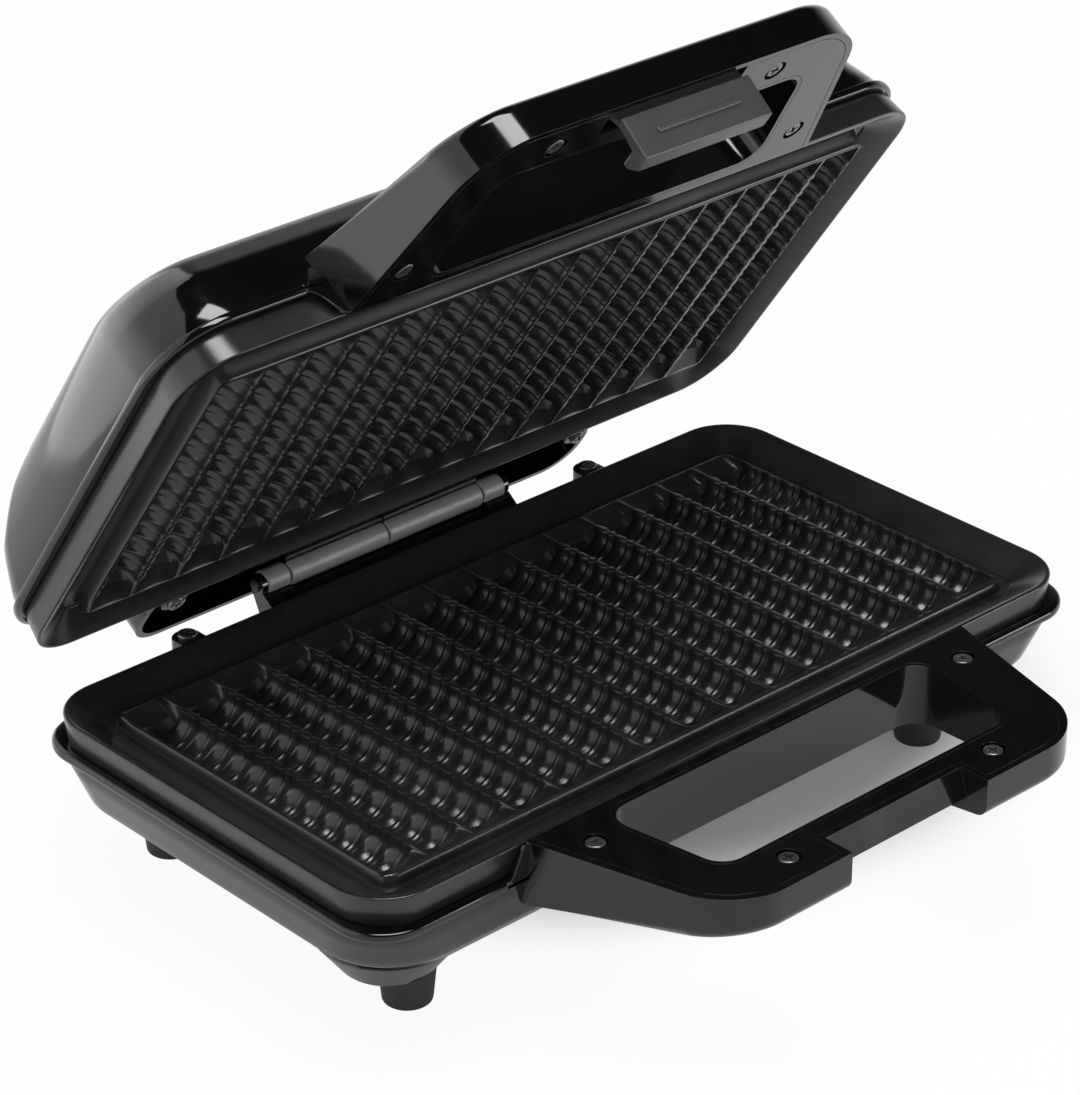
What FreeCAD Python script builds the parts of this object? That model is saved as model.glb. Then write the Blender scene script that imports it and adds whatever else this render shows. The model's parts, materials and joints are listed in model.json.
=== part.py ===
"""Waffle stick maker: a hinged clamshell with two corrugated plates, loop handles and a latch clip.

Every piece is modelled in a half frame: X to the right, Y towards the hinge, and Z up from the plane
where the closed halves meet. Pieces of the base lie below that plane as they are built. Pieces of the
lid are built the same way, then turned over about Y and swung open about the hinge axis.
"""
import FreeCAD, Part
import math
import os
import re
import Sketcher

SIZES = [
    ("rim_width", 330.0, "plate rim, side to side"),
    ("rim_depth", 174.7, "plate rim, handle side to hinge side"),
    ("rim_corner", 21.0, "plan radius of the rim corners"),
    ("rim_height", 11.5, "rim wall"),
    ("rim_flare", 1.6, "how far the rim wall leans out"),
    ("rim_land", 2.0, "width of the rim's top edge"),
    ("rim_gap", 3.0, "gap between the two rims when closed"),
    ("gutter_drop", 7.0, "gutter floor below the rim"),
    ("gutter_slope", 12.0, "run of the rim's inner slope"),
    ("field_width", 291.5, "grooved field, side to side"),
    ("field_depth", 139.0, "grooved field, front to back"),
    ("field_corner", 5.0, "plan radius of the field corners"),
    ("field_draft", 1.5, "how far the field's sides lean out"),
    ("lower_field_drop", 3.5, "lower field below its rim"),
    ("upper_field_drop", 0.5, "upper field below its rim"),
    ("groove_count", 15, "stick grooves in a plate"),
    ("groove_radius", 8.5, "half-round groove"),
    ("groove_end", 3.4, "land at each end of a groove"),
    ("wave_count", 13, "corrugations along a groove"),
    ("wave_height", 0.85, "height of a corrugation"),
    ("plate_base", 2.7, "metal under the grooves"),
    ("ear_spread", 192.0, "distance between the plate ears"),
    ("ear_reach", 6.2, "ear centre behind the rim"),
    ("ear_radius", 5.5, "plate ear"),
    ("ear_drop", 2.0, "ear top below the rim"),
    ("ear_thick", 4.0, "plate ear"),
    ("lip_drop", 10.5, "housing lip below the rim"),
    ("lip_reach", 2.3, "housing lip outside the rim"),
    ("lip_height", 3.4, "housing lip"),
    ("lower_lip_corner", 18.5, "plan radius of the lower lip corners"),
    ("upper_lip_corner", 26.0, "plan radius of the lid's lip corners"),
    ("lip_step", 1.4, "housing wall inside the lip"),
    ("lower_wall_corner", 27.0, "plan radius of the lower housing wall"),
    ("upper_wall_corner", 33.0, "plan radius of the lid wall"),
    ("seat_depth", 1.0, "recess that the plate sits in"),
    ("seat_gap", 1.0, "space round the plate in its recess"),
    ("side_wall", 4.3, "housing side walls"),
    ("floor_wall", 2.5, "housing floor"),
    ("lower_straight", 3.0, "upright part of the lower housing wall"),
    ("lower_turn_depth", 29.5, "rounded part of the lower housing, in height"),
    ("lower_turn", 36.0, "rounded part of the lower housing, in plan"),
    ("upper_straight", 3.0, "upright part of the lid wall"),
    ("upper_turn_depth", 32.0, "rounded part of the lid, in height"),
    ("upper_side_turn", 18.5, "rounded part of the lid's sides, in plan"),
    ("upper_front_turn", 29.5, "rounded part of the lid's front, in plan"),
    ("upper_rear_turn", 55.0, "rounded part of the lid's rear, in plan"),
    ("apron_width", 212.0, "rear apron of the lid"),
    ("apron_reach", 33.5, "rear apron behind the rim"),
    ("apron_drop", 5.0, "apron edge from the closing plane"),
    ("apron_height", 24.0, "rear apron"),
    ("apron_wall", 2.6, "rear apron"),
    ("apron_corner", 14.0, "plan radius of the apron corners"),
    ("apron_edge", 8.4, "round on the far edge of the apron"),
    ("foot_height", 14.5, "visible foot"),
    ("foot_top_radius", 10.0, "foot at the boss"),
    ("foot_sole_radius", 8.5, "foot at the floor"),
    ("foot_stud_radius", 3.0, "stud that holds the foot"),
    ("foot_stud_length", 6.0, "stud that holds the foot"),
    ("foot_side_inset", 41.5, "foot centres inside the sides of the rim"),
    ("front_foot_inset", 34.35, "front foot centres behind the rim's front"),
    ("rear_foot_inset", 15.35, "rear foot centres ahead of the rim's back"),
    ("boss_radius", 15.8, "foot boss at its face"),
    ("boss_top_radius", 26.0, "foot boss where it runs into the wall"),
    ("boss_depth", 6.1, "foot boss below the housing floor"),
    ("boss_rise", 7.5, "foot boss above the housing floor"),
    ("boss_side_shift", 4.4, "foot boss outside its foot, in width"),
    ("boss_end_shift", 4.1, "foot boss inside its foot, front to back"),
    ("post_depth", 10.0, "plate screw post below the lip"),
    ("hinge_reach", 13.6, "hinge axis behind the rim"),
    ("barrel_radius", 4.0, "hinge barrel"),
    ("pin_radius", 2.0, "hinge pin"),
    ("pin_proud", 1.0, "hinge pin beyond the barrel"),
    ("hinge_length", 118.0, "hinge barrel, end to end"),
    ("base_knuckle", 12.7, "length of a base knuckle"),
    ("knuckle_gap", 0.6, "gap between knuckles"),
    ("web_gap", 0.8, "hinge web to the lid's barrels and the cord gland"),
    ("arm_height", 24.0, "hinge arm"),
    ("arm_thick", 6.0, "hinge arm at the barrel"),
    ("lid_angle", 55.0, "how far the lid stands open"),
    ("handle_root", 207.0, "handle at the housing"),
    ("handle_front", 166.0, "handle at its front corners"),
    ("handle_reach", 76.2, "handle front ahead of the rim"),
    ("handle_corner", 27.0, "plan radius of the handle's front corners"),
    ("handle_edge", 4.0, "round on the handle's outer edge"),
    ("handle_tuck", 8.0, "handle root inside the rim"),
    ("handle_root_height", 24.0, "handle at the housing"),
    ("handle_front_height", 14.2, "handle at its front"),
    ("handle_gap", 1.2, "gap between the two covers when closed"),
    ("handle_air", 0.7, "handle root to the plate rim"),
    ("hole_root", 150.0, "finger opening at the housing"),
    ("hole_front", 135.0, "finger opening at the front"),
    ("hole_start", 6.2, "finger opening ahead of the rim"),
    ("hole_depth", 48.0, "finger opening, front to back"),
    ("hole_corner", 9.0, "plan radius of the opening's corners"),
    ("cover_inset", 2.6, "handle wall round the cover"),
    ("cover_lip", 1.8, "handle wall round the opening"),
    ("cover_thick", 3.0, "handle cover"),
    ("cover_clear", 0.15, "space round the cover"),
    ("root_screw_half", 87.0, "rear cover screws from the middle"),
    ("root_screw_place", 16.0, "rear cover screws ahead of the rim"),
    ("front_screw_half", 48.5, "front cover screws from the middle"),
    ("front_screw_place", 63.8, "front cover screws ahead of the rim"),
    ("screw_head_radius", 3.5, "pan head"),
    ("screw_head_height", 1.7, "pan head"),
    ("screw_shank_radius", 1.5, "screw shank"),
    ("screw_length", 9.0, "screw shank"),
    ("recess_radius", 4.3, "screw recess in a cover"),
    ("recess_depth", 1.9, "screw recess in a cover"),
    ("fit_clear", 0.04, "radial clearance of pins and screws"),
    ("catch_width", 64.0, "catch notch in the lower handle"),
    ("catch_depth", 11.9, "catch notch behind the handle front"),
    ("catch_ramp", 3.4, "how far the catch bar leans out"),
    ("catch_height", 9.9, "catch bar"),
    ("catch_under", 6.5, "room for the hook under the catch bar"),
    ("latch_width", 56.0, "latch clip"),
    ("latch_reach", 17.0, "latch clip beyond the closing plane"),
    ("latch_set", 2.6, "latch face behind the handle front"),
    ("latch_lean", 1.7, "how far the latch face leans in"),
    ("latch_thick", 3.4, "latch clip wall"),
    ("latch_shoulder", 2.0, "top of the latch face beyond the closing plane"),
    ("latch_neck", 3.4, "latch neck"),
    ("latch_slope", 0.3, "fall of the latch shoulder"),
    ("latch_crook", 1.5, "inside of the latch below its shoulder"),
    ("hook_reach", 6.6, "hook lip"),
    ("hook_height", 2.2, "hook lip"),
    ("hook_clear", 0.9, "hook lip below the catch bar"),
    ("latch_axis_set", 7.0, "latch pin behind the handle front"),
    ("latch_axis_height", 5.2, "latch pin from the closing plane"),
    ("latch_barrel_radius", 2.7, "latch barrel"),
    ("latch_pin_radius", 1.4, "latch pin"),
    ("latch_pin_grip", 3.0, "latch pin in each wall of its pocket"),
    ("latch_side_gap", 1.5, "pocket beside the latch"),
    ("pocket_clear", 0.4, "cover round the latch pocket"),
    ("latch_pocket_depth", 9.2, "latch pocket in the handle"),
    ("latch_wall", 2.3, "handle wall in front of the latch"),
    ("latch_pocket_run", 11.6, "latch pocket, front to back"),
    ("rib_width", 36.0, "grip rib on the latch face"),
    ("rib_height", 1.8, "grip rib on the latch face"),
    ("rib_proud", 1.0, "grip rib on the latch face"),
    ("element_radius", 3.3, "heating tube"),
    ("element_run", 190.0, "straight length of the heating tube"),
    ("element_spread", 76.0, "distance between the tube's two runs"),
    ("element_pin_radius", 1.3, "terminal pin of the heating tube"),
    ("element_pin_length", 12.0, "terminal pin of the heating tube"),
    ("tray_width", 284.0, "reflector tray"),
    ("tray_depth", 128.0, "reflector tray"),
    ("tray_height", 8.0, "reflector tray"),
    ("tray_sheet", 0.8, "reflector sheet"),
    ("tray_corner", 10.0, "plan radius of the reflector"),
    ("tray_drop", 1.5, "reflector rim below the plate"),
    ("stay_radius", 2.4, "shoulder screw of the reflector"),
    ("stay_grip", 4.0, "shoulder screw in the plate"),
    ("stay_head_radius", 4.5, "shoulder screw head"),
    ("stay_head_height", 2.0, "shoulder screw head"),
    ("thermostat_radius", 8.0, "disc thermostat"),
    ("thermostat_height", 6.5, "disc thermostat"),
    ("fuse_radius", 2.2, "thermal fuse"),
    ("fuse_length", 18.0, "thermal fuse"),
    ("fuse_place", 22.0, "thermal fuse from the middle"),
    ("block_length", 34.0, "terminal block"),
    ("block_width", 14.0, "terminal block"),
    ("block_height", 11.0, "terminal block"),
    ("gland_depth", 27.0, "cord gland below the closing plane"),
    ("gland_radius", 7.0, "cord gland flange"),
    ("gland_neck", 4.8, "cord gland neck"),
    ("gland_bore", 3.4, "cord gland bore"),
    ("gland_reach", 4.0, "cord gland behind the rim"),
    ("gland_length", 21.0, "cord gland, end to end"),
    ("gland_face", 1.0, "cord gland neck behind its flange face"),
    ("lamp_radius", 4.0, "lamp lens"),
    ("lamp_spread", 26.0, "distance between the lamp lenses"),
    ("lamp_place", 40.0, "lamp lenses ahead of the plate centre"),
    ("lamp_proud", 1.0, "lamp lens"),
]
NAMES = {name for name, value, note in SIZES}

RIM_Z = "(-rim_gap / 2)"
LIP_Z = f"({RIM_Z} - lip_drop)"
SEAT_Z = f"({LIP_Z} - seat_depth)"
STEP_Z = f"({LIP_Z} - lip_height)"
GUTTER_Z = f"({RIM_Z} - gutter_drop)"
FRONT_Y = "(-rim_depth / 2)"
REAR_Y = "(rim_depth / 2)"
HINGE_Y = f"({REAR_Y} + hinge_reach)"
EAR_Y = f"({REAR_Y} + ear_reach)"
EAR_Z = f"({RIM_Z} - ear_drop)"
COVER_Z = "(-handle_gap / 2)"
HANDLE_Y = f"({FRONT_Y} - handle_reach)"
FLOOR_Z = f"({STEP_Z} - lower_straight - lower_turn_depth)"
BOSS_Z = f"({FLOOR_Z} - boss_depth)"
SOLE_Z = f"({BOSS_Z} - foot_height)"
CROWN_Z = f"({STEP_Z} - upper_straight - upper_turn_depth)"
PITCH = "(field_width / groove_count)"
LATCH_Y = f"({HANDLE_Y} + latch_axis_set)"
LATCH_Z = "(-latch_axis_height)"
WALL_STEPS = (0.0, 0.36, 0.66, 0.86, 0.97, 1.0)
GROOVE_FACETS = 5
STAY_X = f"(2.5 * {PITCH})"
OVER = "handle_root_height"
FOOT_X = "(rim_width / 2 - foot_side_inset)"
FRONT_FOOT_Y = f"({FRONT_Y} + front_foot_inset)"
REAR_FOOT_Y = f"({REAR_Y} - rear_foot_inset)"

doc = FreeCAD.newDocument("waffle_stick_maker")
sheet = doc.addObject("Spreadsheet::Sheet", "Sizes")
for row, (name, value, note) in enumerate(SIZES, start=1):
    sheet.set(f"A{row}", name)
    sheet.set(f"B{row}", str(value))
    sheet.setAlias(f"B{row}", name)
    sheet.set(f"C{row}", note)
doc.recompute()

base_parts = []
lid_parts = []
latch_parts = []


def linked(expression):
    """The expression with each size's name written as its sheet cell."""
    return re.sub(r"[a-z_]+", lambda m: "Sizes." + m[0] if m[0] in NAMES else m[0], str(expression))


def size(expression):
    """The number that an expression of sizes gives."""
    return float(sheet.evalExpression(linked(expression)))


def bind(item, prop, expression):
    item.setExpression(prop, linked(expression))


def part_of(group, item, label):
    """Name a finished piece and note which moving body it belongs to."""
    item.Label = label
    group.append(item)
    return item


def new_body(label):
    return doc.addObject("PartDesign::Body", label)


def new_sketch(body, plane, offset="0"):
    sketch = body.newObject("Sketcher::SketchObject", body.Name + "_sketch")
    support = [f for f in body.Origin.OriginFeatures if f.Role == plane][0]
    sketch.AttachmentSupport = (support, [""])
    sketch.MapMode = "FlatFace"
    bind(sketch, "AttachmentOffset.Base.z", offset)
    return sketch


def pin_point(sketch, geometry, end, point):
    """Hold one end of a line or arc at a point given by two expressions."""
    for kind, expression in zip(("DistanceX", "DistanceY"), point):
        index = sketch.addConstraint(Sketcher.Constraint(kind, geometry, end, size(expression)))
        bind(sketch, f"Constraints[{index}]", expression)


def polygon(sketch, points):
    """A closed outline of straight lines through points given as expressions."""
    spots = [FreeCAD.Vector(size(x), size(y), 0) for x, y in points]
    lines = [sketch.addGeometry(Part.LineSegment(spots[i], spots[(i + 1) % len(spots)]))
             for i in range(len(spots))]
    for i, line in enumerate(lines):
        sketch.addConstraint(Sketcher.Constraint("Coincident", line, 2, lines[(i + 1) % len(lines)], 1))
        pin_point(sketch, line, 1, points[i])


def rounded_rectangle(sketch, half_x, half_y, radius, middle_y="0"):
    """Four lines and four corner arcs about (0, middle_y)."""
    hx, hy, r, cy = (size(e) for e in (half_x, half_y, radius, middle_y))
    near_x, near_y = f"(({half_x}) - ({radius}))", f"(({half_y}) - ({radius}))"
    corners = ((1, 1), (-1, 1), (-1, -1), (1, -1))
    arcs = []
    for turn, (sx, sy) in enumerate(corners):
        centre = FreeCAD.Vector(sx * (hx - r), cy + sy * (hy - r), 0)
        circle = Part.Circle(centre, FreeCAD.Vector(0, 0, 1), r)
        arc = sketch.addGeometry(Part.ArcOfCircle(circle, turn * math.pi / 2, (turn + 1) * math.pi / 2))
        index = sketch.addConstraint(Sketcher.Constraint("Radius", arc, r))
        bind(sketch, f"Constraints[{index}]", radius)
        on_side = (f"{sx} * ({half_x})", f"({middle_y}) + {sy} * {near_y}")
        on_end = (f"{sx} * {near_x}", f"({middle_y}) + {sy} * ({half_y})")
        first, last = (on_side, on_end) if sx == sy else (on_end, on_side)
        pin_point(sketch, arc, 1, first)
        pin_point(sketch, arc, 2, last)
        arcs.append((arc, first, last))
    for i, (arc, first, last) in enumerate(arcs):
        following, start, end = arcs[(i + 1) % 4]
        ends = [FreeCAD.Vector(size(x), size(y), 0) for x, y in (last, start)]
        line = sketch.addGeometry(Part.LineSegment(*ends))
        sketch.addConstraint(Sketcher.Constraint("Coincident", line, 1, arc, 2))
        sketch.addConstraint(Sketcher.Constraint("Coincident", line, 2, following, 1))


def pad(body, sketch, length, reverse=False, midplane=False, cut=False):
    """Extrude a sketch of the body, as material or as a cut."""
    feature = body.newObject("PartDesign::Pocket" if cut else "PartDesign::Pad", body.Name + "_pad")
    feature.Profile = sketch
    bind(feature, "Length", length)
    feature.Reversed = reverse
    feature.Midplane = midplane
    return feature


def loft(body, sketches, ruled=False, cut=False):
    kind = "PartDesign::SubtractiveLoft" if cut else "PartDesign::AdditiveLoft"
    feature = body.newObject(kind, body.Name + "_loft")
    feature.Profile = sketches[0]
    feature.Sections = sketches[1:]
    feature.Ruled = ruled
    return feature


def round_edges(body, feature, radius, wanted):
    """Fillet the edges of the last feature that the test picks."""
    doc.recompute()
    names = [f"Edge{i + 1}" for i, edge in enumerate(feature.Shape.Edges) if wanted(edge)]
    fillet = body.newObject("PartDesign::Fillet", body.Name + "_fillet")
    fillet.Base = (feature, names)
    bind(fillet, "Radius", radius)
    return fillet


def root_edge(edge):
    """Whether an edge runs across the handle, level, where its underside starts."""
    start, end = edge.Vertexes[0].Point, edge.Vertexes[-1].Point
    return abs(start.y - end.y) < 1e-6 and start.y > size(HANDLE_Y) + 1e-3


def upright(edge):
    start, end = edge.Vertexes[0].Point, edge.Vertexes[-1].Point
    return abs(start.x - end.x) < 1e-6 and abs(start.y - end.y) < 1e-6


def cylinder(label, radius, height, place, axis="Z"):
    """A cylinder whose base centre is at place and that runs along +X, +Y or +Z."""
    item = doc.addObject("Part::Cylinder", label)
    bind(item, "Radius", radius)
    bind(item, "Height", height)
    turn = {"X": ("0, 1, 0", 90), "Y": ("1, 0, 0", -90), "Z": ("0, 0, 1", 0)}[axis]
    item.Placement.Rotation = FreeCAD.Rotation(FreeCAD.Vector(*map(float, turn[0].split(","))), turn[1])
    for letter, expression in zip("xyz", place):
        bind(item, f"Placement.Base.{letter}", expression)
    return item


def cone(label, low_radius, high_radius, height, place):
    item = doc.addObject("Part::Cone", label)
    bind(item, "Radius1", low_radius)
    bind(item, "Radius2", high_radius)
    bind(item, "Height", height)
    for letter, expression in zip("xyz", place):
        bind(item, f"Placement.Base.{letter}", expression)
    return item


def box(label, low, high):
    item = doc.addObject("Part::Box", label)
    for prop, letter, a, b in zip(("Length", "Width", "Height"), "xyz", low, high):
        bind(item, prop, f"({b}) - ({a})")
        bind(item, f"Placement.Base.{letter}", a)
    return item


def fuse(label, items):
    item = doc.addObject("Part::MultiFuse", label)
    item.Shapes = items
    return item


def cut(label, base, tool):
    item = doc.addObject("Part::Cut", label)
    item.Base = base
    item.Tool = tool
    return item


def groove_cutters(label, field_z):
    """Corrugated sticks, each a flat-faced skin over sections that swell and shrink."""
    radius, swell = size("groove_radius"), size("wave_height")
    waves = int(size("wave_count"))
    length = size("field_depth - 2 * groove_end")
    count, pitch, middle_z = int(size("groove_count")), size(PITCH), size(field_z)
    rings = []
    for step in range(2 * waves + 1):
        y = -length / 2 + length * step / (2 * waves)
        reach = radius + swell * (step % 2)
        angles = [math.pi * k / GROOVE_FACETS for k in range(GROOVE_FACETS + 1)]
        ring = [FreeCAD.Vector(reach * math.cos(a), y, -reach * math.sin(a)) for a in angles]
        ring += [FreeCAD.Vector(side * reach, y, radius / 2) for side in (-1, 1)]
        rings.append(ring)
    outlines = [rings[0], rings[-1]]
    for near, far in zip(rings, rings[1:]):
        for i in range(len(near)):
            outlines.append([near[i - 1], near[i], far[i], far[i - 1]])
    shell = Part.makeShell([Part.Face(Part.makePolygon(spots + spots[:1])) for spots in outlines])
    shell.sewShape()
    stick = Part.makeSolid(shell)
    sticks = []
    for i in range(count):
        copy = stick.copy()
        copy.translate(FreeCAD.Vector((i - (count - 1) / 2) * pitch, 0, middle_z))
        sticks.append(copy)
    item = doc.addObject("Part::Feature", label)
    item.Shape = Part.makeCompound(sticks)
    return item


def make_plate(label, field_drop, group):
    """A cast plate: flared rim, sloped gutter, raised grooved field and two screw ears."""
    field_z = f"({RIM_Z} - {field_drop})"
    back_z = f"({field_z} - groove_radius - wave_height - plate_base)"
    half_x, half_y = "rim_width / 2", "rim_depth / 2"
    field_x, field_y = "field_width / 2", "field_depth / 2"
    body = new_body(label + "_casting")
    top = new_sketch(body, "XY_Plane", RIM_Z)
    rounded_rectangle(top, half_x, half_y, "rim_corner")
    bottom = new_sketch(body, "XY_Plane", f"{RIM_Z} - rim_height")
    rounded_rectangle(bottom, f"{half_x} - rim_flare", f"{half_y} - rim_flare", "rim_corner - rim_flare")
    loft(body, [top, bottom], ruled=True)
    mouth = new_sketch(body, "XY_Plane", RIM_Z)
    rounded_rectangle(mouth, f"{half_x} - rim_land", f"{half_y} - rim_land", "rim_corner - rim_land")
    floor = new_sketch(body, "XY_Plane", GUTTER_Z)
    inset = "rim_land - gutter_slope"
    rounded_rectangle(floor, f"{half_x} - {inset}", f"{half_y} - {inset}", f"rim_corner - {inset}")
    loft(body, [mouth, floor], ruled=True, cut=True)
    foot = new_sketch(body, "XY_Plane", GUTTER_Z)
    drafted = (f"{field_x} + field_draft", f"{field_y} + field_draft", "field_corner + field_draft")
    rounded_rectangle(foot, *drafted)
    crest = new_sketch(body, "XY_Plane", field_z)
    rounded_rectangle(crest, field_x, field_y, "field_corner")
    loft(body, [foot, crest], ruled=True)
    back = new_sketch(body, "XY_Plane", back_z)
    rounded_rectangle(back, *drafted)
    pad(body, back, f"{GUTTER_Z} - {back_z}")
    ears, holes = [], []
    for side in (-1, 1):
        ear_x = f"{side} * ear_spread / 2"
        ear_low = f"{EAR_Z} - ear_thick"
        ears.append(cylinder(f"{label}_ear", "ear_radius", "ear_thick", (ear_x, EAR_Y, ear_low)))
        ears.append(box(f"{label}_web", (f"{ear_x} - ear_radius", f"{REAR_Y} - rim_land", ear_low),
                        (f"{ear_x} + ear_radius", EAR_Y, EAR_Z)))
        holes.append(cylinder(f"{label}_ear_hole", "screw_shank_radius + fit_clear", "2 * ear_thick",
                              (ear_x, EAR_Y, f"{ear_low} - ear_thick / 2")))
        holes.append(cylinder(f"{label}_stay_hole", "stay_radius + fit_clear", "stay_grip",
                              (f"{side} * {STAY_X}", "0", back_z)))
    solid = fuse(label + "_solid", [body] + ears)
    drilled = cut(label + "_drilled", solid, fuse(label + "_holes", holes))
    grooved = cut(label + "_grooved", drilled, groove_cutters(label + "_sticks", field_z))
    grooved.Refine = False
    part_of(group, grooved, label)
    return back_z


def add_wall(body, half, start_z, turns, wall, floor):
    """Add a half's skin: an upright wall that rounds over into the floor as an ellipse."""
    front, rear, side = turns
    straight, depth = f"{half}_straight", f"{half}_turn_depth"
    half_x = f"(rim_width / 2 + lip_reach - lip_step - {wall})"
    half_y = f"(rim_depth / 2 + lip_reach - lip_step - {wall})"
    corner = f"({half}_wall_corner - {wall})"
    turn_z = f"({STEP_Z} - {straight})"
    upright_wall = new_sketch(body, "XY_Plane", start_z)
    rounded_rectangle(upright_wall, half_x, half_y, corner)
    pad(body, upright_wall, f"{start_z} - {turn_z}", reverse=True)
    sketches = []
    for step in WALL_STEPS:
        share = 1 - math.sqrt(1 - step * step)
        level = new_sketch(body, "XY_Plane", f"{turn_z} - {step} * ({depth} - {floor})")
        level_x, level_y = f"{half_x} - {share} * {side}", f"{half_y} - {share} * ({front} + {rear}) / 2"
        rounded_rectangle(level, level_x, level_y, corner, f"{share} * ({front} - {rear}) / 2")
        sketches.append(level)
    loft(body, sketches, ruled=True)


def make_housing(half, turns, extras, holes, group):
    """A moulded shell: lip, rounded wall and a recess that the plate sits in. Returns its outside."""
    label = half + "_housing"
    outside = new_body(label + "_outside")
    lip = new_sketch(outside, "XY_Plane", LIP_Z)
    half_x, half_y = "rim_width / 2 + lip_reach", "rim_depth / 2 + lip_reach"
    rounded_rectangle(lip, half_x, half_y, f"{half}_lip_corner")
    pad(outside, lip, "lip_height", reverse=True)
    add_wall(outside, half, STEP_Z, turns, "0", "0")
    inside = new_body(label + "_inside")
    seat = new_sketch(inside, "XY_Plane", LIP_Z)
    gap = "- rim_flare + seat_gap"
    rounded_rectangle(seat, f"rim_width / 2 {gap}", f"rim_depth / 2 {gap}", f"rim_corner {gap}")
    pad(inside, seat, "seat_depth", reverse=True)
    add_wall(inside, half, SEAT_Z, turns, "side_wall", "floor_wall")
    shell = fuse(label + "_blank", [outside] + extras)
    part_of(group, cut(label + "_shell", shell, fuse(label + "_hollow", [inside] + holes)), label)
    return outside


def screw_posts(label):
    """Posts on the rear wall that the plate ears are screwed to, and their pilot holes."""
    posts, holes = [], []
    post_top = f"{EAR_Z} - ear_thick"
    post_low = f"({STEP_Z} - post_depth)"
    for side in (-1, 1):
        ear_x = f"{side} * ear_spread / 2"
        posts.append(cylinder(f"{label}_post", "ear_radius", f"{post_top} - {post_low}",
                              (ear_x, EAR_Y, post_low)))
        posts.append(box(f"{label}_post_web", (f"{ear_x} - ear_radius", f"{REAR_Y} - side_wall", post_low),
                         (f"{ear_x} + ear_radius", EAR_Y, LIP_Z)))
        holes.append(cylinder(f"{label}_pilot", "screw_shank_radius + fit_clear", "screw_length",
                              (ear_x, EAR_Y, f"{EAR_Z} - screw_length")))
    return posts, holes


def make_plate_screws(label, group):
    screws = []
    for side in (-1, 1):
        ear_x = f"{side} * ear_spread / 2"
        shank = cylinder(f"{label}_shank", "screw_shank_radius", "screw_length",
                         (ear_x, EAR_Y, f"{EAR_Z} - screw_length"))
        head = cylinder(f"{label}_head", "screw_head_radius", "screw_head_height", (ear_x, EAR_Y, EAR_Z))
        screws.append(fuse(f"{label}_screw", [shank, head]))
    part_of(group, fuse(label + "_set", screws), label)


def make_lower_housing():
    turns = ("lower_turn", "lower_turn", "lower_turn")
    posts, holes = screw_posts("lower_housing")
    for side in (-1, 1):
        for place, inward in ((FRONT_FOOT_Y, 1), (REAR_FOOT_Y, -1)):
            spot = (f"{side} * {FOOT_X}", place)
            boss_x = f"{side} * ({FOOT_X} + boss_side_shift)"
            boss_y = f"{place} + {inward} * boss_end_shift"
            posts.append(cone("foot_boss", "boss_radius", "boss_top_radius", "boss_depth + boss_rise",
                              (boss_x, boss_y, BOSS_Z)))
            holes.append(cylinder("foot_socket", "foot_stud_radius + fit_clear", "foot_stud_length",
                                  spot + (BOSS_Z,)))
    holes.append(cylinder("gland_hole", "gland_neck + fit_clear", OVER,
                          ("0", f"{REAR_Y} - {OVER} / 2", "-gland_depth"), "Y"))
    return make_housing("lower", turns, posts, holes, base_parts)


def make_upper_housing():
    turns = ("upper_front_turn", "upper_rear_turn", "upper_side_turn")
    posts, holes = screw_posts("upper_housing")
    apron = new_body("apron_outside")
    outline = new_sketch(apron, "XY_Plane", "-apron_drop")
    far_y = f"({REAR_Y} + apron_reach)"
    near_y = f"({REAR_Y} - side_wall)"
    half = "apron_width / 2"
    polygon(outline, ((f"-{half}", near_y), (half, near_y), (half, far_y), (f"-{half}", far_y)))
    block = pad(apron, outline, "apron_height", reverse=True)
    limit = size(far_y) - 1e-3
    corner = round_edges(apron, block, "apron_corner", lambda e: upright(e) and e.Vertexes[0].Y > limit)
    low = size("-apron_drop - apron_height") + 1e-3
    round_edges(apron, corner, "apron_edge", lambda e: max(v.Z for v in e.Vertexes) < low
                and max(v.Y for v in e.Vertexes) > size(near_y) + 1e-3)
    hollow = new_body("apron_inside")
    inner = new_sketch(hollow, "XY_Plane", "-apron_drop")
    inner_y = f"({far_y} - apron_wall)"
    inner_x = f"({half} - apron_wall)"
    polygon(inner, ((f"-{inner_x}", near_y), (inner_x, near_y),
                    (inner_x, inner_y), (f"-{inner_x}", inner_y)))
    cavity = pad(hollow, inner, "apron_height - apron_wall", reverse=True)
    edge = size(inner_y) - 1e-3
    round_edges(hollow, cavity, "apron_corner - apron_wall", lambda e: upright(e) and e.Vertexes[0].Y > edge)
    for side in (-1, 1):
        holes.append(cylinder("lamp_hole", "lamp_radius + fit_clear", "2 * floor_wall",
                              (f"{side} * lamp_spread / 2", "-lamp_place", f"{CROWN_Z} - floor_wall / 2")))
    rim_room = box("apron_rim_room", (f"-{half}", "0", LIP_Z), (half, f"{REAR_Y} + lip_reach", "0"))
    skirt = cut("apron", apron, fuse("apron_hollow", [hollow, rim_room]))
    return make_housing("upper", turns, [skirt] + posts, holes, lid_parts)


def handle_outline(grow, tuck):
    """Corner points of a handle, pushed in by grow, with its root carried back by tuck."""
    root, front = f"(handle_root / 2 - ({grow}))", f"(handle_front / 2 - ({grow}))"
    near, far = f"({FRONT_Y} - handle_air)", f"({HANDLE_Y} + ({grow}))"
    points = [(f"-{root}", near), (f"-{front}", far), (front, far), (root, near)]
    if tuck:
        points += [(root, f"{near} + {tuck}"), (f"-{root}", f"{near} + {tuck}")]
    return points


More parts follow.
